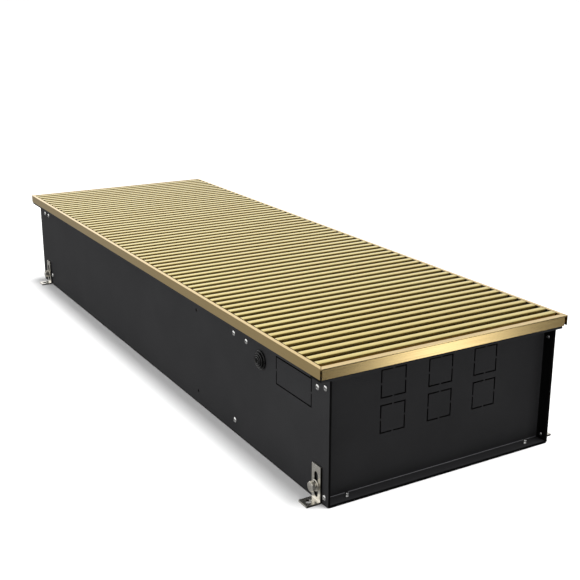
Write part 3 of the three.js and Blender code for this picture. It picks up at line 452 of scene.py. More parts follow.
def allOf(bm):
    return bm.verts[:] + bm.edges[:] + bm.faces[:]


outwards = {  # turns local Z to point out of the wall
    "front": Matrix.Rotation(math.pi / 2, 4, "X"),
    "back": Matrix.Rotation(-math.pi / 2, 4, "X"),
}


# Casing

casing = {
    "edge": 0.12, "innerBend": 0.6, "outerBend": 1.8, "bendSegments": 3,
    "cutEdge": 1.6,       # a face narrower than this is the cut edge of a sheet
    "cutBack": 0.25,      # what the laser takes off each cut edge
    "bendFace": 2.5,      # folds have wider faces than this on both sides
    "shortestFold": 40,
    "plates": {"trough": "casing_trough", "end_plate_near": "casing_end_near",
               "end_plate_far": "casing_end_far", "partition": "casing_partition"},
}


def faceWidth(face):
    return 2 * face.calc_area() / face.calc_perimeter() / mm


def isCutEdge(face):
    # Narrow, and square to whatever lies along its length
    longest = max(edge.calc_length() for edge in face.edges)
    sides = [edge for edge in face.edges if edge.calc_length() > longest / 2]
    return faceWidth(face) < casing["cutEdge"] and all(edge.calc_face_angle(0) > 0.5 for edge in sides)


def isInside(face, nodeName):
    # Faces painted near black as painted shade: all that look into the casing, and the end plates' side
    # folds
    normal, middle = face.normal, face.calc_center_median()
    if nodeName == "partition":
        return True
    if abs(normal.y) > 0.9:
        return nodeName != "trough" or normal.y * middle.y < 0
    if nodeName == "trough":
        return normal.z > 0.9 and middle.z < 5 * mm
    return abs(normal.x) > 0.9 and normal.x * middle.x < 0


def foldedEdges(bm, sign):
    found = []
    for edge in bm.edges:
        if not edge.is_manifold or edge.calc_length() < casing["shortestFold"] * mm:
            continue
        angle = edge.calc_face_angle_signed()
        if sign * angle > 1 and min(faceWidth(face) for face in edge.link_faces) > casing["bendFace"]:
            found.append(edge)
    return found


def widenCuts(faces):
    moves = {}
    for face in faces:
        for corner in face.verts:
            moves.setdefault(corner, []).append(face.normal.copy())
    for corner, normals in moves.items():
        apart = [normal for i, normal in enumerate(normals)
                 if all(abs(normal.dot(other)) < 0.5 for other in normals[:i])]
        for normal in apart:
            corner.co -= normal * casing["cutBack"] * mm


def makeSheetPiece(nodeName, name):
    # Folded sheet: round bends; cut edges and inside faces painted near black as painted shade, and end
    # plates' inner folds a lighter grey painted highlight
    isEnd = nodeName.startswith("end_plate")
    bm = cadCopy(nodeName)
    cuts = [face for face in bm.faces if isCutEdge(face)]
    widenCuts(cuts)
    for face in bm.faces:
        face.material_index = 1 if face in cuts or isInside(face, nodeName) else 0
    for sign, radius in ((-1, casing["innerBend"]), (1, casing["outerBend"])):
        bends = bmesh.ops.bevel(bm, geom=foldedEdges(bm, sign), offset=radius * mm, affect="EDGES",
                                segments=casing["bendSegments"], profile=0.5, material=-1)["faces"]
        for face in bends:
            # The end plates' inner folds take the lighter grey painted highlight
            face.material_index = 2 if isEnd and sign < 0 and abs(face.normal.y) < 0.1 else 0
    piece = addBevel(finishPiece(bm, name, "coat", nodeName), casing["edge"])
    piece.data.materials.append(finishes["coatPaintedShade"])
    piece.data.materials.append(finishes["coatFoldHighlight"])


for nodeName, name in casing["plates"].items():
    makeSheetPiece(nodeName, name)
print("casing made")


# Blind rivets: domed head, snapped mandrel in its dimple, and the bulb behind the sheets
rivet = {
    "head": 3.1, "rim": 0.25, "dome": 1.3, "dimple": 1.15, "dimpleDepth": 0.75, "mandrel": 0.8,
    "shank": 1.6, "bulb": 2.1,
}


def makeWallRivet(nodeName, side):
    low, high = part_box(nodeName)
    r = rivet
    depth = (high.y - low.y) / mm - r["dome"]
    bulbTop = -depth + 1.8
    bm = bmesh.new()
    head = [(r["head"], r["rim"] + 0.08), (2.75, 0.72), (2.2, 1.04), (1.6, 1.24),
            (1.3, r["dome"]), (r["dimple"], 1.22),
            (r["dimple"] - 0.1, r["dome"] - r["dimpleDepth"])]
    tail = [(0, -depth), (r["mandrel"], -depth), (r["bulb"] * 0.8, -depth + 0.25),
            (r["bulb"], (bulbTop - depth) / 2), (r["bulb"] * 0.85, bulbTop - 0.2),
            (r["shank"], bulbTop), (r["shank"], 0), (r["head"] - 0.1, 0)]
    turn(bm, tail + head + [(0, r["dome"] - r["dimpleDepth"])], 24)
    outer = low.y if side == "front" else high.y
    outward = -1 if side == "front" else 1
    middle = middleOf(nodeName)
    place = Matrix.Translation((middle.x, outer - outward * r["dome"] * mm, middle.z)) @ outwards[side]
    name = "blind_" + nodeName
    finishPiece(bm, name, "rivet", nodeName, place=place)
    makeMandrel(name + "_mandrel", nodeName, place)


def makeMandrel(name, nodeName, place):
    r = rivet
    bm = bmesh.new()
    floor = r["dome"] - r["dimpleDepth"]
    turn(bm, [(0, floor - 0.3), (r["mandrel"], floor - 0.3), (r["mandrel"], floor + 0.22),
              (r["mandrel"] - 0.15, floor + 0.34), (0, floor + 0.3)], 16)
    finishPiece(bm, name, "mandrel", nodeName, stands=False, place=place)


def makeFloorRivet(nodeName):
    low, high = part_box(nodeName)
    r = rivet
    length = (high.z - low.z) / mm
    bm = bmesh.new()
    turn(bm, [(0, 0), (r["shank"], 0), (r["shank"], 2.6), (r["bulb"], 2.8),
              (r["bulb"], 3.6), (1.75, 4.1), (1.75, length - 1.4), (1.5, length - 1.1),
              (1.85, length - 0.9), (1.6, length - 0.25), (0.9, length), (0, length)], 24)
    finishPiece(bm, "flush_" + nodeName, "rivet", nodeName, place=footOf(nodeName))


for nodeName in sorted(frame["nodes"]):
    if nodeName.startswith("rivet_floor"):
        makeFloorRivet(nodeName)
    elif nodeName.startswith("rivet_"):
        makeWallRivet(nodeName, nodeName.split("_")[1])
print("rivets made")


# Frame of mitred extrusions, with a fine groove under the lip of each end profile, painted brown black
# inside as painted shade
profile = {
    "edge": 0.12, "mitreGap": 0.3, "grooveTop": 0.55, "groove": 0.45, "grooveDepth": 0.7, "grooveStop": 1.2,
}


def startProfile(nodeName, axis):
    # The CAD profile, its mitred ends drawn back a little and given the brown-black painted shade
    bm = cadCopy(nodeName)
    cuts = [face for face in bm.faces if abs(face.normal[axis]) > 0.5]
    for face in cuts:
        face.material_index = 1
    for corner in {corner for face in cuts for corner in face.verts}:
        corner.co[axis] -= math.copysign(profile["mitreGap"] * mm, corner.co[axis])
    return bm


def cutGroove(bm, side):
    top = max(corner.co.z for corner in bm.verts) - profile["grooveTop"] * mm
    outer = max(side * corner.co.x for corner in bm.verts)
    stop = max(corner.co.y for corner in bm.verts) - profile["grooveStop"] * mm
    lower = top - profile["groove"] * mm
    for spot, direction in (((0, 0, top), (0, 0, 1)), ((0, 0, lower), (0, 0, 1)),
                            ((0, stop, 0), (0, 1, 0)), ((0, -stop, 0), (0, 1, 0))):
        bmesh.ops.bisect_plane(bm, geom=allOf(bm), dist=1e-7, plane_co=spot, plane_no=direction)
    strip = []
    for face in bm.faces:
        middle = face.calc_center_median()
        if side * middle.x > outer - 0.01 * mm and lower < middle.z < top and abs(middle.y) < stop:
            strip.append(face)
    rims = list({edge for face in strip for edge in face.edges})
    sunk = bmesh.ops.extrude_face_region(bm, geom=strip + rims)["geom"]
    floor = onlyVerts(sunk)
    bmesh.ops.translate(bm, vec=(-side * profile["grooveDepth"] * mm, 0, 0), verts=floor)
    for corner in floor:
        for face in corner.link_faces:
            face.material_index = 1


for nodeName, finish, axis, side in (
        ("frame_front", "goldAlong", 0, 0), ("frame_back", "goldAlong", 0, 0),
        ("frame_near", "goldAcross", 1, 1), ("frame_far", "goldAcross", 1, -1)):
    bm = startProfile(nodeName, axis)
    if side:
        cutGroove(bm, side)
    piece = addBevel(finishPiece(bm, nodeName + "_profile", finish, nodeName), profile["edge"])
    piece.data.materials.append(finishes["goldPaintedShade"])
print("frame made")


# Roll-up grille: T bars threaded on two rods, with sleeves that keep them apart
grille = {
    "pitch": 15.1, "top": 8.0, "topThickness": 2.4, "web": 5.0, "edge": 0.15, "fillet": 0.6,
    "drawIn": 0.45,       # how far each side of a top stands in from its full width
    "rod": 1.5, "sleeve": 2.5, "rodInset": 58, "rodDrop": 5.6,
}


def barSection(height):
    # One bar's outline, (across, up), from the foot of its web round its top
    g = grille
    half, web = g["top"] / 2 - g["drawIn"], g["web"] / 2
    edge, fillet = g["edge"], g["fillet"]
    under = height - g["topThickness"]
    right = [(web - 0.2, 0), (web, 0.2), (web, under - fillet)]
    right += arc((web + fillet, under - fillet), fillet, 180, 90, 3)
    right += [(half - 0.3, under), (half, under + 0.3)]
    right += arc((half - edge, height - edge), edge, 0, 90, 4)
    return right + [(-x, z) for x, z in reversed(right)]


def makeGrille():
    low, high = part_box("roll_up_grille")
    g = grille
    count = round(((high.x - low.x) / mm - g["top"]) / g["pitch"]) + 1
    height = (high.z - low.z) / mm
    firstX = low.x / mm + g["top"] / 2
    bm = bmesh.new()
    outline = [bm.verts.new(((firstX + x) * mm, low.y, low.z + z * mm)) for x, z in barSection(height)]
    end = bm.faces.new(outline)
    bar = bmesh.ops.extrude_face_region(bm, geom=[end], use_keep_orig=True)["geom"]
    bmesh.ops.translate(bm, vec=(0, high.y - low.y, 0), verts=onlyVerts(bar))
    fixNormals(bm)
    repeat(bm, allOf(bm), [Matrix.Translation((i * g["pitch"] * mm, 0, 0)) for i in range(1, count)])
    # The bars' sides take the darker gold painted shade, and their ends the brown-black painted shade
    for face in bm.faces:
        face.material_index = 1 if abs(face.normal.x) > 0.5 else 2 if abs(face.normal.y) > 0.5 else 0
    bars = finishPiece(bm, "grille_bars", "bar", "roll_up_grille")
    bars.data.materials.append(finishes["barWeb"])
    bars.data.materials.append(finishes["goldPaintedShade"])
    rodZ = high.z - g["rodDrop"] * mm
    for side, name in ((-1, "front"), (1, "back")):
        rodY = side * (high.y - g["rodInset"] * mm)
        makeTieRod(name, low.x, high.x, rodY, rodZ, count)


def makeTieRod(name, lowX, highX, y, z, count):
    g = grille
    alongX = facingX(0, y, z)
    start = (lowX / mm) + g["top"] / 2 - g["web"] / 2
    end = (highX / mm) - g["top"] / 2 + g["web"] / 2
    rod = bmesh.new()
    turn(rod, [(0, start - 0.6), (1.0, start - 0.6), (g["rod"], start - 0.2),
               (g["rod"], end + 0.2), (1.0, end + 0.6), (0, end + 0.6)], 16)
    finishPiece(rod, "grille_rod_" + name, "mandrel", "roll_up_grille", stands=False, place=alongX)
    sleeves = bmesh.new()
    gapStart = start + g["web"] + 0.1
    gap = g["pitch"] - g["web"] - 0.2
    turn(sleeves, [(g["rod"], gapStart), (g["sleeve"], gapStart),
                   (g["sleeve"], gapStart + gap), (g["rod"], gapStart + gap),
                   (g["rod"], gapStart)], 10)
    steps = [Matrix.Translation((0, 0, i * g["pitch"] * mm)) for i in range(1, count - 1)]
    repeat(sleeves, allOf(sleeves), steps)
    finishPiece(sleeves, "grille_sleeves_" + name, "plastic", "roll_up_grille", stands=False, place=alongX)


makeGrille()
liner = {"thickness": 0.7, "belowTop": 0.9}


def makeLiner(side):
    # The damping strip's upright lip, between the bars' ends and the frame
    low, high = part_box("damping_strip_" + side)
    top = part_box("roll_up_grille")[1].z - liner["belowTop"] * mm
    outward = -1 if side == "front" else 1
    outer = (low.y if side == "front" else high.y) + outward * 0.1 * mm
    inner = outer - outward * liner["thickness"] * mm
    bm = bmesh.new()
    corners = [bm.verts.new((low.x, y, high.z - 0.1 * mm)) for y in (outer, inner)]
    edge = bm.edges.new(corners)
    for direction in ((high.x - low.x, 0, 0), (0, 0, top - high.z)):
        source = bm.faces[:] if bm.faces else [edge]
        grown = bmesh.ops.extrude_face_region(bm, geom=source, use_keep_orig=bool(bm.faces))["geom"]
        bmesh.ops.translate(bm, vec=direction, verts=onlyVerts(grown))
    fixNormals(bm)
    addBevel(finishPiece(bm, "grille_liner_" + side, "rubber", "damping_strip_" + side, stands=False), 0.2)


for side in ("front", "back"):
    rolledCopy("damping_strip_" + side, "grille_pad_" + side, "rubber", 0.25)
    makeLiner(side)
print("grille made")


# Fixing brackets: flat blanks with a slot and a hole, bent at the foot and then given thickness
bracket = {
    "width": 16, "height": 39.6, "reach": 17.7, "sheet": 2, "bend": 2.6, "bendSteps": 6, "corner": 0.6,
    "slotWidth": 6.6, "slotLow": 5, "slotHigh": 32.5, "hole": 3.4, "holeFromFace": 10.7,
}


def addOutline(bm, points):
    corners = [bm.verts.new((x * mm, y * mm, 0)) for x, y in points]
    return [bm.edges.new(pair) for pair in zip(corners, corners[1:] + corners[:1])]


def bentBlank():
    # The blank lies flat in XY: x across, y up the leg, with the foot below y = 0
    b = bracket
    bendLength = b["bend"] * math.pi / 2
    footEnd = -(bendLength + b["reach"] - b["bend"])
    legEnd = b["height"] - b["bend"]
    half, corner = b["width"] / 2, b["corner"]
    bm = bmesh.new()
    outline = arc((half - corner, legEnd - corner), corner, 0, 90, 2)
    outline += arc((-half + corner, legEnd - corner), corner, 90, 180, 2)
    outline += arc((-half + corner, footEnd + corner), corner, 180, 270, 2)
    outline += arc((half - corner, footEnd + corner), corner, 270, 360, 2)
    slotRadius = b["slotWidth"] / 2
    slot = arc((0, b["slotHigh"] - b["bend"] - slotRadius), slotRadius, 0, 180, 12)
    slot += arc((0, b["slotLow"] - b["bend"] + slotRadius), slotRadius, 180, 360, 12)
    holeY = -(bendLength + b["holeFromFace"] - b["bend"])
    edges = addOutline(bm, outline) + addOutline(bm, slot)
    edges += addOutline(bm, arc((0, holeY), b["hole"], 0, 345, 23))
    bmesh.ops.triangle_fill(bm, edges=edges, use_beauty=True, normal=(0, 0, 1))
    for i in range(b["bendSteps"] + 1):
        bmesh.ops.bisect_plane(bm, geom=allOf(bm), dist=1e-7, plane_no=(0, 1, 0),
                               plane_co=(0, -bendLength * mm * i / b["bendSteps"], 0))
    bendCorners(bm, b["bend"] * mm)
    return bm


def bendCorners(bm, radius):
    # Leg up the wall's face at y = 0, then round the bend and out along -y on the floor
    for corner in bm.verts:
        x, along = corner.co.x, corner.co.y
        past = -along - radius * math.pi / 2
        if along >= 0:
            corner.co = (x, 0, radius + along)
        elif past >= 0:
            corner.co = (x, -radius - past, 0)
        else:
            angle = -along / radius
            corner.co = (x, -radius * (1 - math.cos(angle)), radius * (1 - math.sin(angle)))


def thicken(bm, thickness):
    fixNormals(bm)
    top = max(bm.faces, key=lambda face: face.calc_center_median().z)
    if top.normal.y > 0:
        bmesh.ops.reverse_faces(bm, faces=bm.faces)
    bmesh.ops.solidify(bm, geom=bm.faces[:], thickness=-thickness)
    fixNormals(bm)


def makeBracket(nodeName):
    low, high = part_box(nodeName)
    isFront = middleOf(nodeName).y < 0
    wallFace = high.y if isFront else low.y
    facing = Matrix.Identity(4) if isFront else Matrix.Rotation(math.pi, 4, "Z")
    bm = bentBlank()
    thicken(bm, bracket["sheet"] * mm)
    # The sheet's cut edges take the darker painted shade
    for face in bm.faces:
        face.material_index = 1 if abs(face.normal.x) > 0.7 else 0
    place = Matrix.Translation((middleOf(nodeName).x, wallFace, low.z)) @ facing
    name = nodeName.replace("bracket", "fixing_bracket")
    piece = finishPiece(bm, name, "stainless", nodeName, place=place)
    piece.data.materials.append(finishes["stainlessShadedEdge"])
    addBevel(piece, 0.2)


# Bolts and nuts
fastener = {
    "flat": 4.93, "pitch": 1.0, "shank": 2.9, "core": 2.3, "headThickness": 3.4, "nutBore": 2.95,
    "flange": 1.0, "flangeRadius": 6.0, "turned": 12,
}


def fastenerPlace(nodeName):
    # Local Z runs out of the wall from the piece's inner end
    low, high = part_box(nodeName)
    side = "front" if middleOf(nodeName).y < 0 else "back"
    inner = high.y if side == "front" else low.y
    middle = middleOf(nodeName)
    length = (high.y - low.y) / mm
    return Matrix.Translation((middle.x, inner, middle.z)) @ outwards[side], length


def makeBolt(nodeName):
    place, length = fastenerPlace(nodeName)
    f = fastener
    under = length - f["headThickness"]
    bm = bmesh.new()
    turn(bm, [(0, 0), (f["core"] - 0.3, 0), (f["core"], 0.4), (f["core"], under + 0.5),
              (0, under + 0.5)], 16)
    addThread(bm, f["shank"], f["pitch"], 0.3, under)
    addHexagon(bm, f["flat"], under, length)
    bmesh.ops.rotate(bm, matrix=Matrix.Rotation(math.radians(f["turned"]), 3, "Z"), verts=bm.verts)
    addBevel(finishPiece(bm, "hex_" + nodeName, "stainless", nodeName, place=place), 0.1, 1, 50)


def makeNut(nodeName):
    place, length = fastenerPlace(nodeName)
    f = fastener
    bm = bmesh.new()
    addHexagon(bm, f["flat"], f["flange"] - 0.2, length, f["nutBore"])
    turn(bm, [(f["nutBore"], 0), (f["flangeRadius"] - 0.2, 0), (f["flangeRadius"], 0.2),
              (f["flangeRadius"], f["flange"] - 0.4), (f["flangeRadius"] - 0.3, f["flange"] - 0.1),
              (f["flat"] - 0.5, f["flange"]), (f["nutBore"], f["flange"]), (f["nutBore"], 0)], 32)
    finishPiece(bm, "flanged_" + nodeName, "stainless", nodeName, place=place)


for end in ("near", "far"):
    for side in ("front", "back"):
        makeBracket(f"bracket_{end}_{side}")
        makeBolt(f"bracket_bolt_{end}_{side}")
        makeNut(f"bracket_nut_{end}_{side}")
print("brackets made")


# Cable grommet: a ribbed dome outside, a neck in the wall, a flange inside and a thin skin over the bore
grommet = {
    "base": 10.8, "bore": 4.0, "neck": 8.4, "flange": 2.0, "sheets": 2.8,
    "ribs": 4, "ribPitch": 2.2, "ribRadius": 0.75, "groove": 1.2, "pinhole": 0.8, "skin": 0.8,
}


def makeGrommet():
    low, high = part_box("cable_grommet")
    g = grommet
    depth = (high.y - low.y) / mm
    inner = g["flange"] + g["sheets"]
    points = [(g["bore"], 0), (g["base"] - 0.5, 0), (g["base"], 0.5), (g["base"], g["flange"]),
              (g["neck"], g["flange"]), (g["neck"], inner), (g["base"] - 0.2, inner)]
    for i in range(g["ribs"]):
        outer = g["base"] - i * g["ribPitch"]
        middle = outer - g["ribRadius"]
        top = inner + (depth - inner) * math.sqrt(1 - (middle / g["base"]) ** 2)
        floor = top - g["groove"]
        points += arc((middle, top - g["ribRadius"]), g["ribRadius"], 0, 180, 6)
        points += [(middle - g["ribRadius"], floor), (outer - g["ribPitch"], floor)]
    points = points[:-1] + [(g["pinhole"], floor), (g["pinhole"], floor - g["skin"]),
                            (g["bore"], floor - g["skin"]), (g["bore"], 0)]
    bm = bmesh.new()
    turn(bm, points, 48)
    middle = middleOf("cable_grommet")
    place = Matrix.Translation((middle.x, high.y, middle.z)) @ outwards["front"]
    finishPiece(bm, "cable_entry_grommet", "rubber", "cable_grommet", place=place)


makeGrommet()
print("grommet made")


# Heat exchanger: finned copper circuit with a return bend, threaded connections and a vent
exchanger = {
    "tube": 7.5, "wall": 1.0, "finPitch": 2.8, "fin": 0.25, "ripple": 0.35, "rippleRows": 6, "collar": 8.4,
    "hexFlat": 11.26, "hexLength": 9, "thread": 10.4, "threadPitch": 1.81, "bore": 6.0, "socket": 9.8,
    "threadLength": 22, "socketDepth": 14,
}


def makeTube():
    low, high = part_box("exchanger_tube")
    e = exchanger
    radius = e["tube"] * mm
    upper, lower = high.z - radius, low.z + radius
    bendRadius = (upper - lower) / 2
    bendX = low.x + radius + bendRadius
    bm = bmesh.new()
    standing = facingX(high.x, middleOf("exchanger_tube").y, upper)
    bmesh.ops.create_circle(bm, segments=24, radius=radius, matrix=standing)
    grown = bmesh.ops.extrude_edge_only(bm, edges=bm.edges[:])["geom"]
    moved = onlyVerts(grown)
    bmesh.ops.translate(bm, vec=(bendX - high.x, 0, 0), verts=moved)
    spun = bmesh.ops.spin(bm, geom=moved + onlyEdges(grown), cent=(bendX, 0, (upper + lower) / 2),
                          axis=(0, -1, 0), angle=math.pi, steps=18)["geom_last"]
    back = bmesh.ops.extrude_edge_only(bm, edges=onlyEdges(spun))["geom"]
    bmesh.ops.translate(bm, vec=(high.x - bendX, 0, 0), verts=onlyVerts(back))
    fixNormals(bm)
    bmesh.ops.solidify(bm, geom=bm.faces[:], thickness=e["wall"] * mm)
    fixNormals(bm)
    finishPiece(bm, "copper_circuit", "copper", "exchanger_tube")


def makeFins():
    low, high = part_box("fin_pack")
    e = exchanger
    width, height = high.y - low.y, high.z - low.z
    middle = middleOf("fin_pack")
    bm = bmesh.new()
    upright = facingX(low.x + e["ripple"] * mm, middle.y, middle.z)
    bmesh.ops.create_grid(bm, x_segments=1, y_segments=e["rippleRows"], size=0.5,
                          matrix=upright @ Matrix.Diagonal((height, width, 1, 1)))
    for corner in bm.verts:
        row = round((corner.co.y - low.y) / width * e["rippleRows"])
        corner.co.x += (1 if row % 2 else -1) * e["ripple"] * mm
    bmesh.ops.solidify(bm, geom=bm.faces[:], thickness=e["fin"] * mm)
    fixNormals(bm)
    room = (high.x - low.x) / mm - 2 * e["ripple"] - e["fin"]
    count = int(room / e["finPitch"])
    repeat(bm, allOf(bm), [Matrix.Translation((room * i / count * mm, 0, 0)) for i in range(1, count + 1)])
    finishPiece(bm, "rippled_fins", "fin", "fin_pack")


def makeCollars():
    low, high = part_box("fin_pack")
    tubeLow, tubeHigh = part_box("exchanger_tube")
    length = (high.x - low.x) / mm
    radius = exchanger["tube"] * mm
    for name, z in (("lower", tubeLow.z + radius), ("upper", tubeHigh.z - radius)):
        bm = bmesh.new()
        turn(bm, [(exchanger["tube"] + 0.1, 0), (exchanger["collar"], 0), (exchanger["collar"], length),
                  (exchanger["tube"] + 0.1, length), (exchanger["tube"] + 0.1, 0)], 24)
        place = facingX(low.x, middleOf("fin_pack").y, z)
        finishPiece(bm, f"fin_collars_{name}", "fin", "fin_pack", stands=False, place=place)


def makeConnection(nodeName):
    low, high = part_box(nodeName)
    e = exchanger
    length = (high.x - low.x) / mm
    hexLow = length - e["threadLength"] - e["hexLength"]
    bm = bmesh.new()
    threadCore = e["thread"] - 0.6 * e["threadPitch"]
    turn(bm, [(e["tube"] + 0.3, 0), (e["socket"], 0), (e["socket"], hexLow + 0.5), (threadCore, hexLow + 1),
              (threadCore, length - 1), (threadCore - 1, length), (e["bore"], length),
              (e["bore"], e["socketDepth"]), (e["tube"] + 0.3, e["socketDepth"] - 0.7),
              (e["tube"] + 0.3, 0)], 32)
    addThread(bm, e["thread"], e["threadPitch"], hexLow + e["hexLength"], length - 0.5, 24)
    addHexagon(bm, e["hexFlat"], hexLow, hexLow + e["hexLength"], e["bore"] + 0.3)
    finishPiece(bm, "threaded_" + nodeName, "brass", nodeName, place=farEndOf(nodeName))


vent = {
    "body": 4.2, "collar": 3.3, "bore": 1.8, "screwHead": 3.4, "screwShank": 1.5, "slot": 0.9,
    "slotDepth": 1.1,
}


def makeVent():
    low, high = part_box("air_vent_body")
    v = vent
    height = (high.z - low.z) / mm
    bm = bmesh.new()
    turn(bm, [(0, 0), (v["body"], 0), (v["body"], 2.6), (v["collar"], 3.2), (v["collar"], 4.2),
              (v["body"], 4.8), (v["body"], height - 0.5), (v["body"] - 0.5, height),
              (v["bore"], height), (v["bore"], 2), (0, 2)], 32)
    finishPiece(bm, "air_vent", "brass", "air_vent_body", place=footOf("air_vent_body"))


def makeBleedScrew():
    # Shank and disc turned, and two half moons on top that leave the screwdriver slot
    low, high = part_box("bleed_screw")
    v = vent
    height = (high.z - low.z) / mm
    slotFloor = height - v["slotDepth"]
    bm = bmesh.new()
    turn(bm, [(0, 0), (v["screwShank"] - 0.3, 0), (v["screwShank"], 0.4), (v["screwShank"], height - 2.6),
              (v["screwHead"], height - 2.6), (v["screwHead"], slotFloor), (0, slotFloor)], 32)
    for side in (-1, 1):
        moon = bmesh.ops.create_circle(bm, segments=32, radius=v["screwHead"] * mm,
                                       matrix=Matrix.Translation((0, 0, slotFloor * mm)))["verts"]
        edges = list({edge for corner in moon for edge in corner.link_edges})
        bmesh.ops.bisect_plane(bm, geom=moon + edges, plane_co=(0, side * v["slot"] / 2 * mm, 0),
                               plane_no=(0, -side, 0), clear_outer=True)
        kept = [corner for corner in bm.verts if corner.is_valid and not corner.link_faces]
        face = bmesh.ops.contextual_create(bm, geom=kept)["faces"]
        raised = bmesh.ops.extrude_face_region(bm, geom=face, use_keep_orig=True)["geom"]
        bmesh.ops.translate(bm, vec=(0, 0, v["slotDepth"] * mm), verts=onlyVerts(raised))
    fixNormals(bm)
    screw = finishPiece(bm, "slotted_bleed_screw", "brass", "bleed_screw", place=footOf("bleed_screw"))
    addBevel(screw, 0.12, 2, 50)


makeTube()
makeFins()
makeCollars()
makeConnection("connection_supply")
makeConnection("connection_return")
makeVent()
makeBleedScrew()
rolledCopy("exchanger_stand_near", "exchanger_cheek_near", "zinc", 0.3)
rolledCopy("exchanger_stand_far", "exchanger_cheek_far", "zinc", 0.3)
print("exchanger made")


# Cross-flow fan: curved blades between discs, a motor with cooling ribs and a plain bearing
fan = {
    "radius": 30, "blades": 28, "bladeDepth": 8.5, "bladeThickness": 0.6, "bladeSweep": 50, "sections": 4,
    "disc": 2, "eye": 20, "shaft": 3,
}


def makeRotor():
    low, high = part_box("fan_rotor")
    f = fan
    axisY, axisZ = middleOf("fan_rotor").y, middleOf("fan_rotor").z
    nearCheek, farCheek = rotorEnds()
    along = facingX(farCheek, axisY, axisZ)
    length = (nearCheek - farCheek) / mm
    section = (length - f["disc"]) / f["sections"]
    bm = bmesh.new()
    addBlade(bm, section)
    spins = [Matrix.Rotation(fullTurn * i / f["blades"], 4, "Z") for i in range(1, f["blades"])]
    repeat(bm, allOf(bm), spins)
    stagger = fullTurn / f["blades"] / f["sections"]
    repeat(bm, allOf(bm), [
        Matrix.Translation((0, 0, section * i * mm)) @ Matrix.Rotation(stagger * i, 4, "Z")
        for i in range(1, f["sections"])])
    for i in range(f["sections"] + 1):
        eye = 0 if i in (0, f["sections"]) else f["eye"]
        start = section * i
        turn(bm, [(eye, start), (f["radius"] - 0.3, start), (f["radius"], start + 0.3),
                  (f["radius"], start + f["disc"] - 0.3), (f["radius"] - 0.3, start + f["disc"]),
                  (eye, start + f["disc"]), (eye, start)], 48)
    start, end = (low.x - farCheek) / mm, (high.x - farCheek) / mm
    for shaftLow, shaftHigh in ((start, 1), (length - 1, end)):
        turn(bm, [(0, shaftLow), (f["shaft"] - 0.4, shaftLow), (f["shaft"], shaftLow + 0.4),
                  (f["shaft"], shaftHigh - 0.4), (f["shaft"] - 0.4, shaftHigh), (0, shaftHigh)], 16)
    finishPiece(bm, "crossflow_rotor", "plastic", "fan_rotor", place=along)


def rotorEnds():
    # The rotor lies between the housing's cheeks, with a running gap at each
    low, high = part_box("fan_housing")
    cheekAndGap = 4.5 * mm
    return high.x - cheekAndGap, low.x + cheekAndGap


def addBlade(bm, section):
    f = fan
    bend = f["bladeDepth"] / math.radians(f["bladeSweep"])
    points = arc((f["radius"] - f["bladeDepth"] - 0.5, -bend), bend, 90, 90 - f["bladeSweep"], 4)
    foot = [bm.verts.new((x * mm, y * mm, f["disc"] / 2 * mm)) for x, y in points]
    edges = [bm.edges.new(pair) for pair in zip(foot, foot[1:])]
    raised = bmesh.ops.extrude_edge_only(bm, edges=edges)["geom"]
    bmesh.ops.translate(bm, vec=(0, 0, section * mm), verts=onlyVerts(raised))
    bmesh.ops.solidify(bm, geom=bm.faces[:], thickness=f["bladeThickness"] * mm)
    fixNormals(bm)


motor = {
    "body": 25, "flange": 29, "flangeThickness": 2.5, "bore": 3.3, "ribs": 7, "ribDepth": 1.6, "recess": 8,
}


def makeMotor():
    low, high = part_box("fan_motor")
    m = motor
    length = (high.x - low.x) / mm
    pitch = (length - m["flangeThickness"] - 6) / m["ribs"]
    points = [(m["bore"], 0), (m["flange"] - 0.4, 0), (m["flange"], 0.4),
              (m["flange"], m["flangeThickness"] - 0.3), (m["flange"] - 0.3, m["flangeThickness"]),
              (m["body"], m["flangeThickness"] + 0.3)]
    for i in range(m["ribs"]):
        start = m["flangeThickness"] + 2 + i * pitch
        points += [(m["body"], start), (m["body"] - m["ribDepth"], start + 0.5),
                   (m["body"] - m["ribDepth"], start + pitch / 2), (m["body"], start + pitch / 2 + 0.5)]
    points += [(m["body"], length - 2), (m["body"] - 2, length), (m["recess"], length),
               (m["recess"] - 1, length - 0.8), (m["bore"], length - 0.8)]
    bm = bmesh.new()
    turn(bm, points + [points[0]], 40)
    finishPiece(bm, "ribbed_fan_motor", "zinc", "fan_motor", place=farEndOf("fan_motor"))


bush = {"bore": 3.3, "neck": 7, "rim": 10}


def makeBearing():
    low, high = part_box("fan_bearing")
    b = bush
    length = (high.x - low.x) / mm
    bm = bmesh.new()
    turn(bm, [(b["bore"], 0), (b["neck"] - 0.5, 0), (b["neck"], 0.5), (b["neck"], 2), (b["rim"] - 0.5, 3),
              (b["rim"], 3.5), (b["rim"], length - 0.5), (b["rim"] - 0.5, length), (b["bore"], length),
              (b["bore"], 0)], 32)
    finishPiece(bm, "fan_bearing_bush", "plastic", "fan_bearing", place=farEndOf("fan_bearing"))


makeRotor()
makeMotor()
makeBearing()
rolledCopy("fan_housing", "fan_scroll", "zinc", 0.25)
print("fan made")


# Terminal box, its lid and the block inside
for nodeName, name in (("terminal_box", "junction_box"), ("terminal_lid", "junction_lid"),
                       ("terminal_block", "junction_block")):
    rolledCopy(nodeName, name, "plastic", 0.4)
print("terminal box made")


# Floor, light and camera

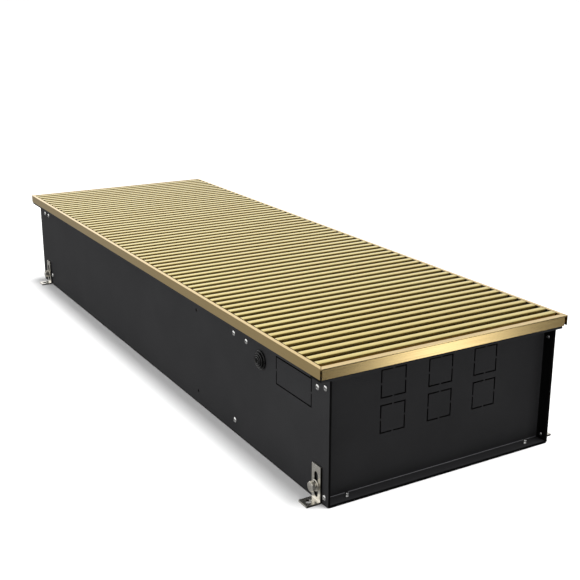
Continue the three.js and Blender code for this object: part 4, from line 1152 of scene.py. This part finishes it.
studio = {
    "floorRadius": 60, "floor": "#f2f2f2", "floorPaler": "#f6f6f6", "mottle": 400,
    # Glow of the tent below the horizon, at it, and from low to high on the roof
    "below": 0.27, "horizon": 1.4, "roofLow": 1.15, "overhead": 0.6,
    "wallRise": (-0.12, 0.02), "roofRise": (0.2, 0.85),     # sines of the heights between which each turns
    # Dim side, and the bright strip in it; bearings and widths are degrees, from +X
    "dimAround": 35, "dimBelow": 0.1, "dimHorizon": 0.3, "turnBelow": (-0.5, 0.5), "turnHorizon": (-1, 0.7),
    "stripAround": 40.0, "stripWidth": 2.2, "stripFade": 3.2, "stripGlow": 2, "stripSide": (0.4, 0.6),
    "lamps": {"overheadSoftbox": {"from": (0.08, 0.12, 1), "angle": 18, "strength": 3.6},
              "lowSideFill": {"from": (-0.35, -1, 0.02), "angle": 30, "strength": 2.0}},
}


def makeFloor():
    values = {"Roughness": 0.9, "Specular IOR Level": 0.1}
    material, tree, shader = startMaterial("mattBackdropPaper", values)
    mottle = noise(tree, stretched(tree, studio["mottle"]))
    colour = blendColours(tree, mottle, hexColour(studio["floor"]), hexColour(studio["floorPaler"]))
    tree.links.new(colour, shader.inputs["Base Color"])
    bm = bmesh.new()
    bmesh.ops.create_circle(bm, cap_ends=True, segments=64, radius=studio["floorRadius"])
    mesh = bpy.data.meshes.new("studio_floor")
    bm.to_mesh(mesh)
    bm.free()
    mesh.materials.append(material)
    floor = bpy.data.objects.new("studio_floor", mesh)
    floor.visible_glossy = False    # so that metal reflects the tent alone
    bpy.context.scene.collection.objects.link(floor)


def bearing(degrees):
    around = math.radians(degrees)
    return (math.cos(around), math.sin(around), 0)


def alongBearing(tree, coords, degrees):
    return addNode(tree, "VectorMath", {"operation": "DOT_PRODUCT"},
                   {0: coords, 1: bearing(degrees)}).outputs["Value"]


def combine(tree, operation, first, second=0.0):
    return addNode(tree, "Math", {"operation": operation}, {0: first, 1: second}).outputs[0]


def makeSky():
    # A white tent, dim behind the near end but for one tall strip that shows in the end profile
    world = bpy.data.worlds.new("whiteTent")
    world.use_nodes = True
    bpy.context.scene.world = world
    tree = world.node_tree
    coords = addNode(tree, "TexCoord").outputs["Generated"]
    height = addNode(tree, "SeparateXYZ", None, {"Vector": coords}).outputs["Z"]
    towardsDim = alongBearing(tree, coords, studio["dimAround"])
    horizon = spread(tree, towardsDim, studio["horizon"], studio["dimHorizon"], *studio["turnHorizon"])
    below = spread(tree, towardsDim, studio["below"], studio["dimBelow"], *studio["turnBelow"])
    walls = spread(tree, height, below, horizon, *studio["wallRise"])
    roof = spread(tree, height, studio["roofLow"], studio["overhead"], *studio["roofRise"])
    tent = combine(tree, "MULTIPLY", walls, roof)
    ahead = alongBearing(tree, coords, studio["stripAround"])
    offset = combine(tree, "ABSOLUTE", alongBearing(tree, coords, studio["stripAround"] + 90))
    edge = math.sin(math.radians(studio["stripWidth"] / 2))
    fade = math.sin(math.radians(studio["stripWidth"] / 2 + studio["stripFade"]))
    strip = spread(tree, offset, studio["stripGlow"], 0, edge, fade)
    strip = combine(tree, "MULTIPLY", strip, spread(tree, ahead, 0, 1, *studio["stripSide"]))
    background = tree.nodes["Background"]
    background.inputs["Color"].default_value = (1, 1, 1, 1)
    # The tent lights the object, and seen directly it is plain white
    seen = addNode(tree, "LightPath").outputs["Is Camera Ray"]
    strength = spread(tree, seen, combine(tree, "ADD", tent, strip), 1, 0, 1)
    tree.links.new(strength, background.inputs["Strength"])


def makeLamp(name, light):
    # A broad soft light, kept out of the metal's reflections
    lamp = bpy.data.lights.new(name, "SUN")
    lamp.energy = light["strength"]
    lamp.angle = math.radians(light["angle"])
    holder = bpy.data.objects.new(name, lamp)
    holder.rotation_mode = "QUATERNION"
    holder.rotation_quaternion = (-Vector(light["from"])).to_track_quat("-Z", "Y")
    holder.visible_glossy = False
    bpy.context.scene.collection.objects.link(holder)


view = {  # metres, degrees, millimetres of lens and sensor
    "at": (1.1778, -0.6078, 0.4841), "azimuth": 59.71, "elevation": 16.52, "roll": 0.05,
    "lens": 60.24, "sensor": 36, "shift": (0.0037, -0.0148),
}


def makeCamera():
    camera = bpy.data.cameras.new("photoCamera")
    camera.lens, camera.sensor_width = view["lens"], view["sensor"]
    camera.shift_x, camera.shift_y = view["shift"]
    holder = bpy.data.objects.new("photoCamera", camera)
    around, up = math.radians(view["azimuth"]), math.radians(view["elevation"])
    towards = -Vector((math.sin(around) * math.cos(up), -math.cos(around) * math.cos(up), math.sin(up)))
    roll = Matrix.Rotation(math.radians(view["roll"]), 3, "Z")
    rolled = towards.to_track_quat("-Z", "Y").to_matrix() @ roll
    holder.rotation_mode = "QUATERNION"
    holder.rotation_quaternion = rolled.to_quaternion()
    holder.location = view["at"]
    bpy.context.scene.collection.objects.link(holder)
    bpy.context.scene.camera = holder


makeFloor()
makeSky()
for name, light in studio["lamps"].items():
    makeLamp(name, light)
makeCamera()
bpy.context.scene.view_settings.view_transform = "Standard"
print("studio made")
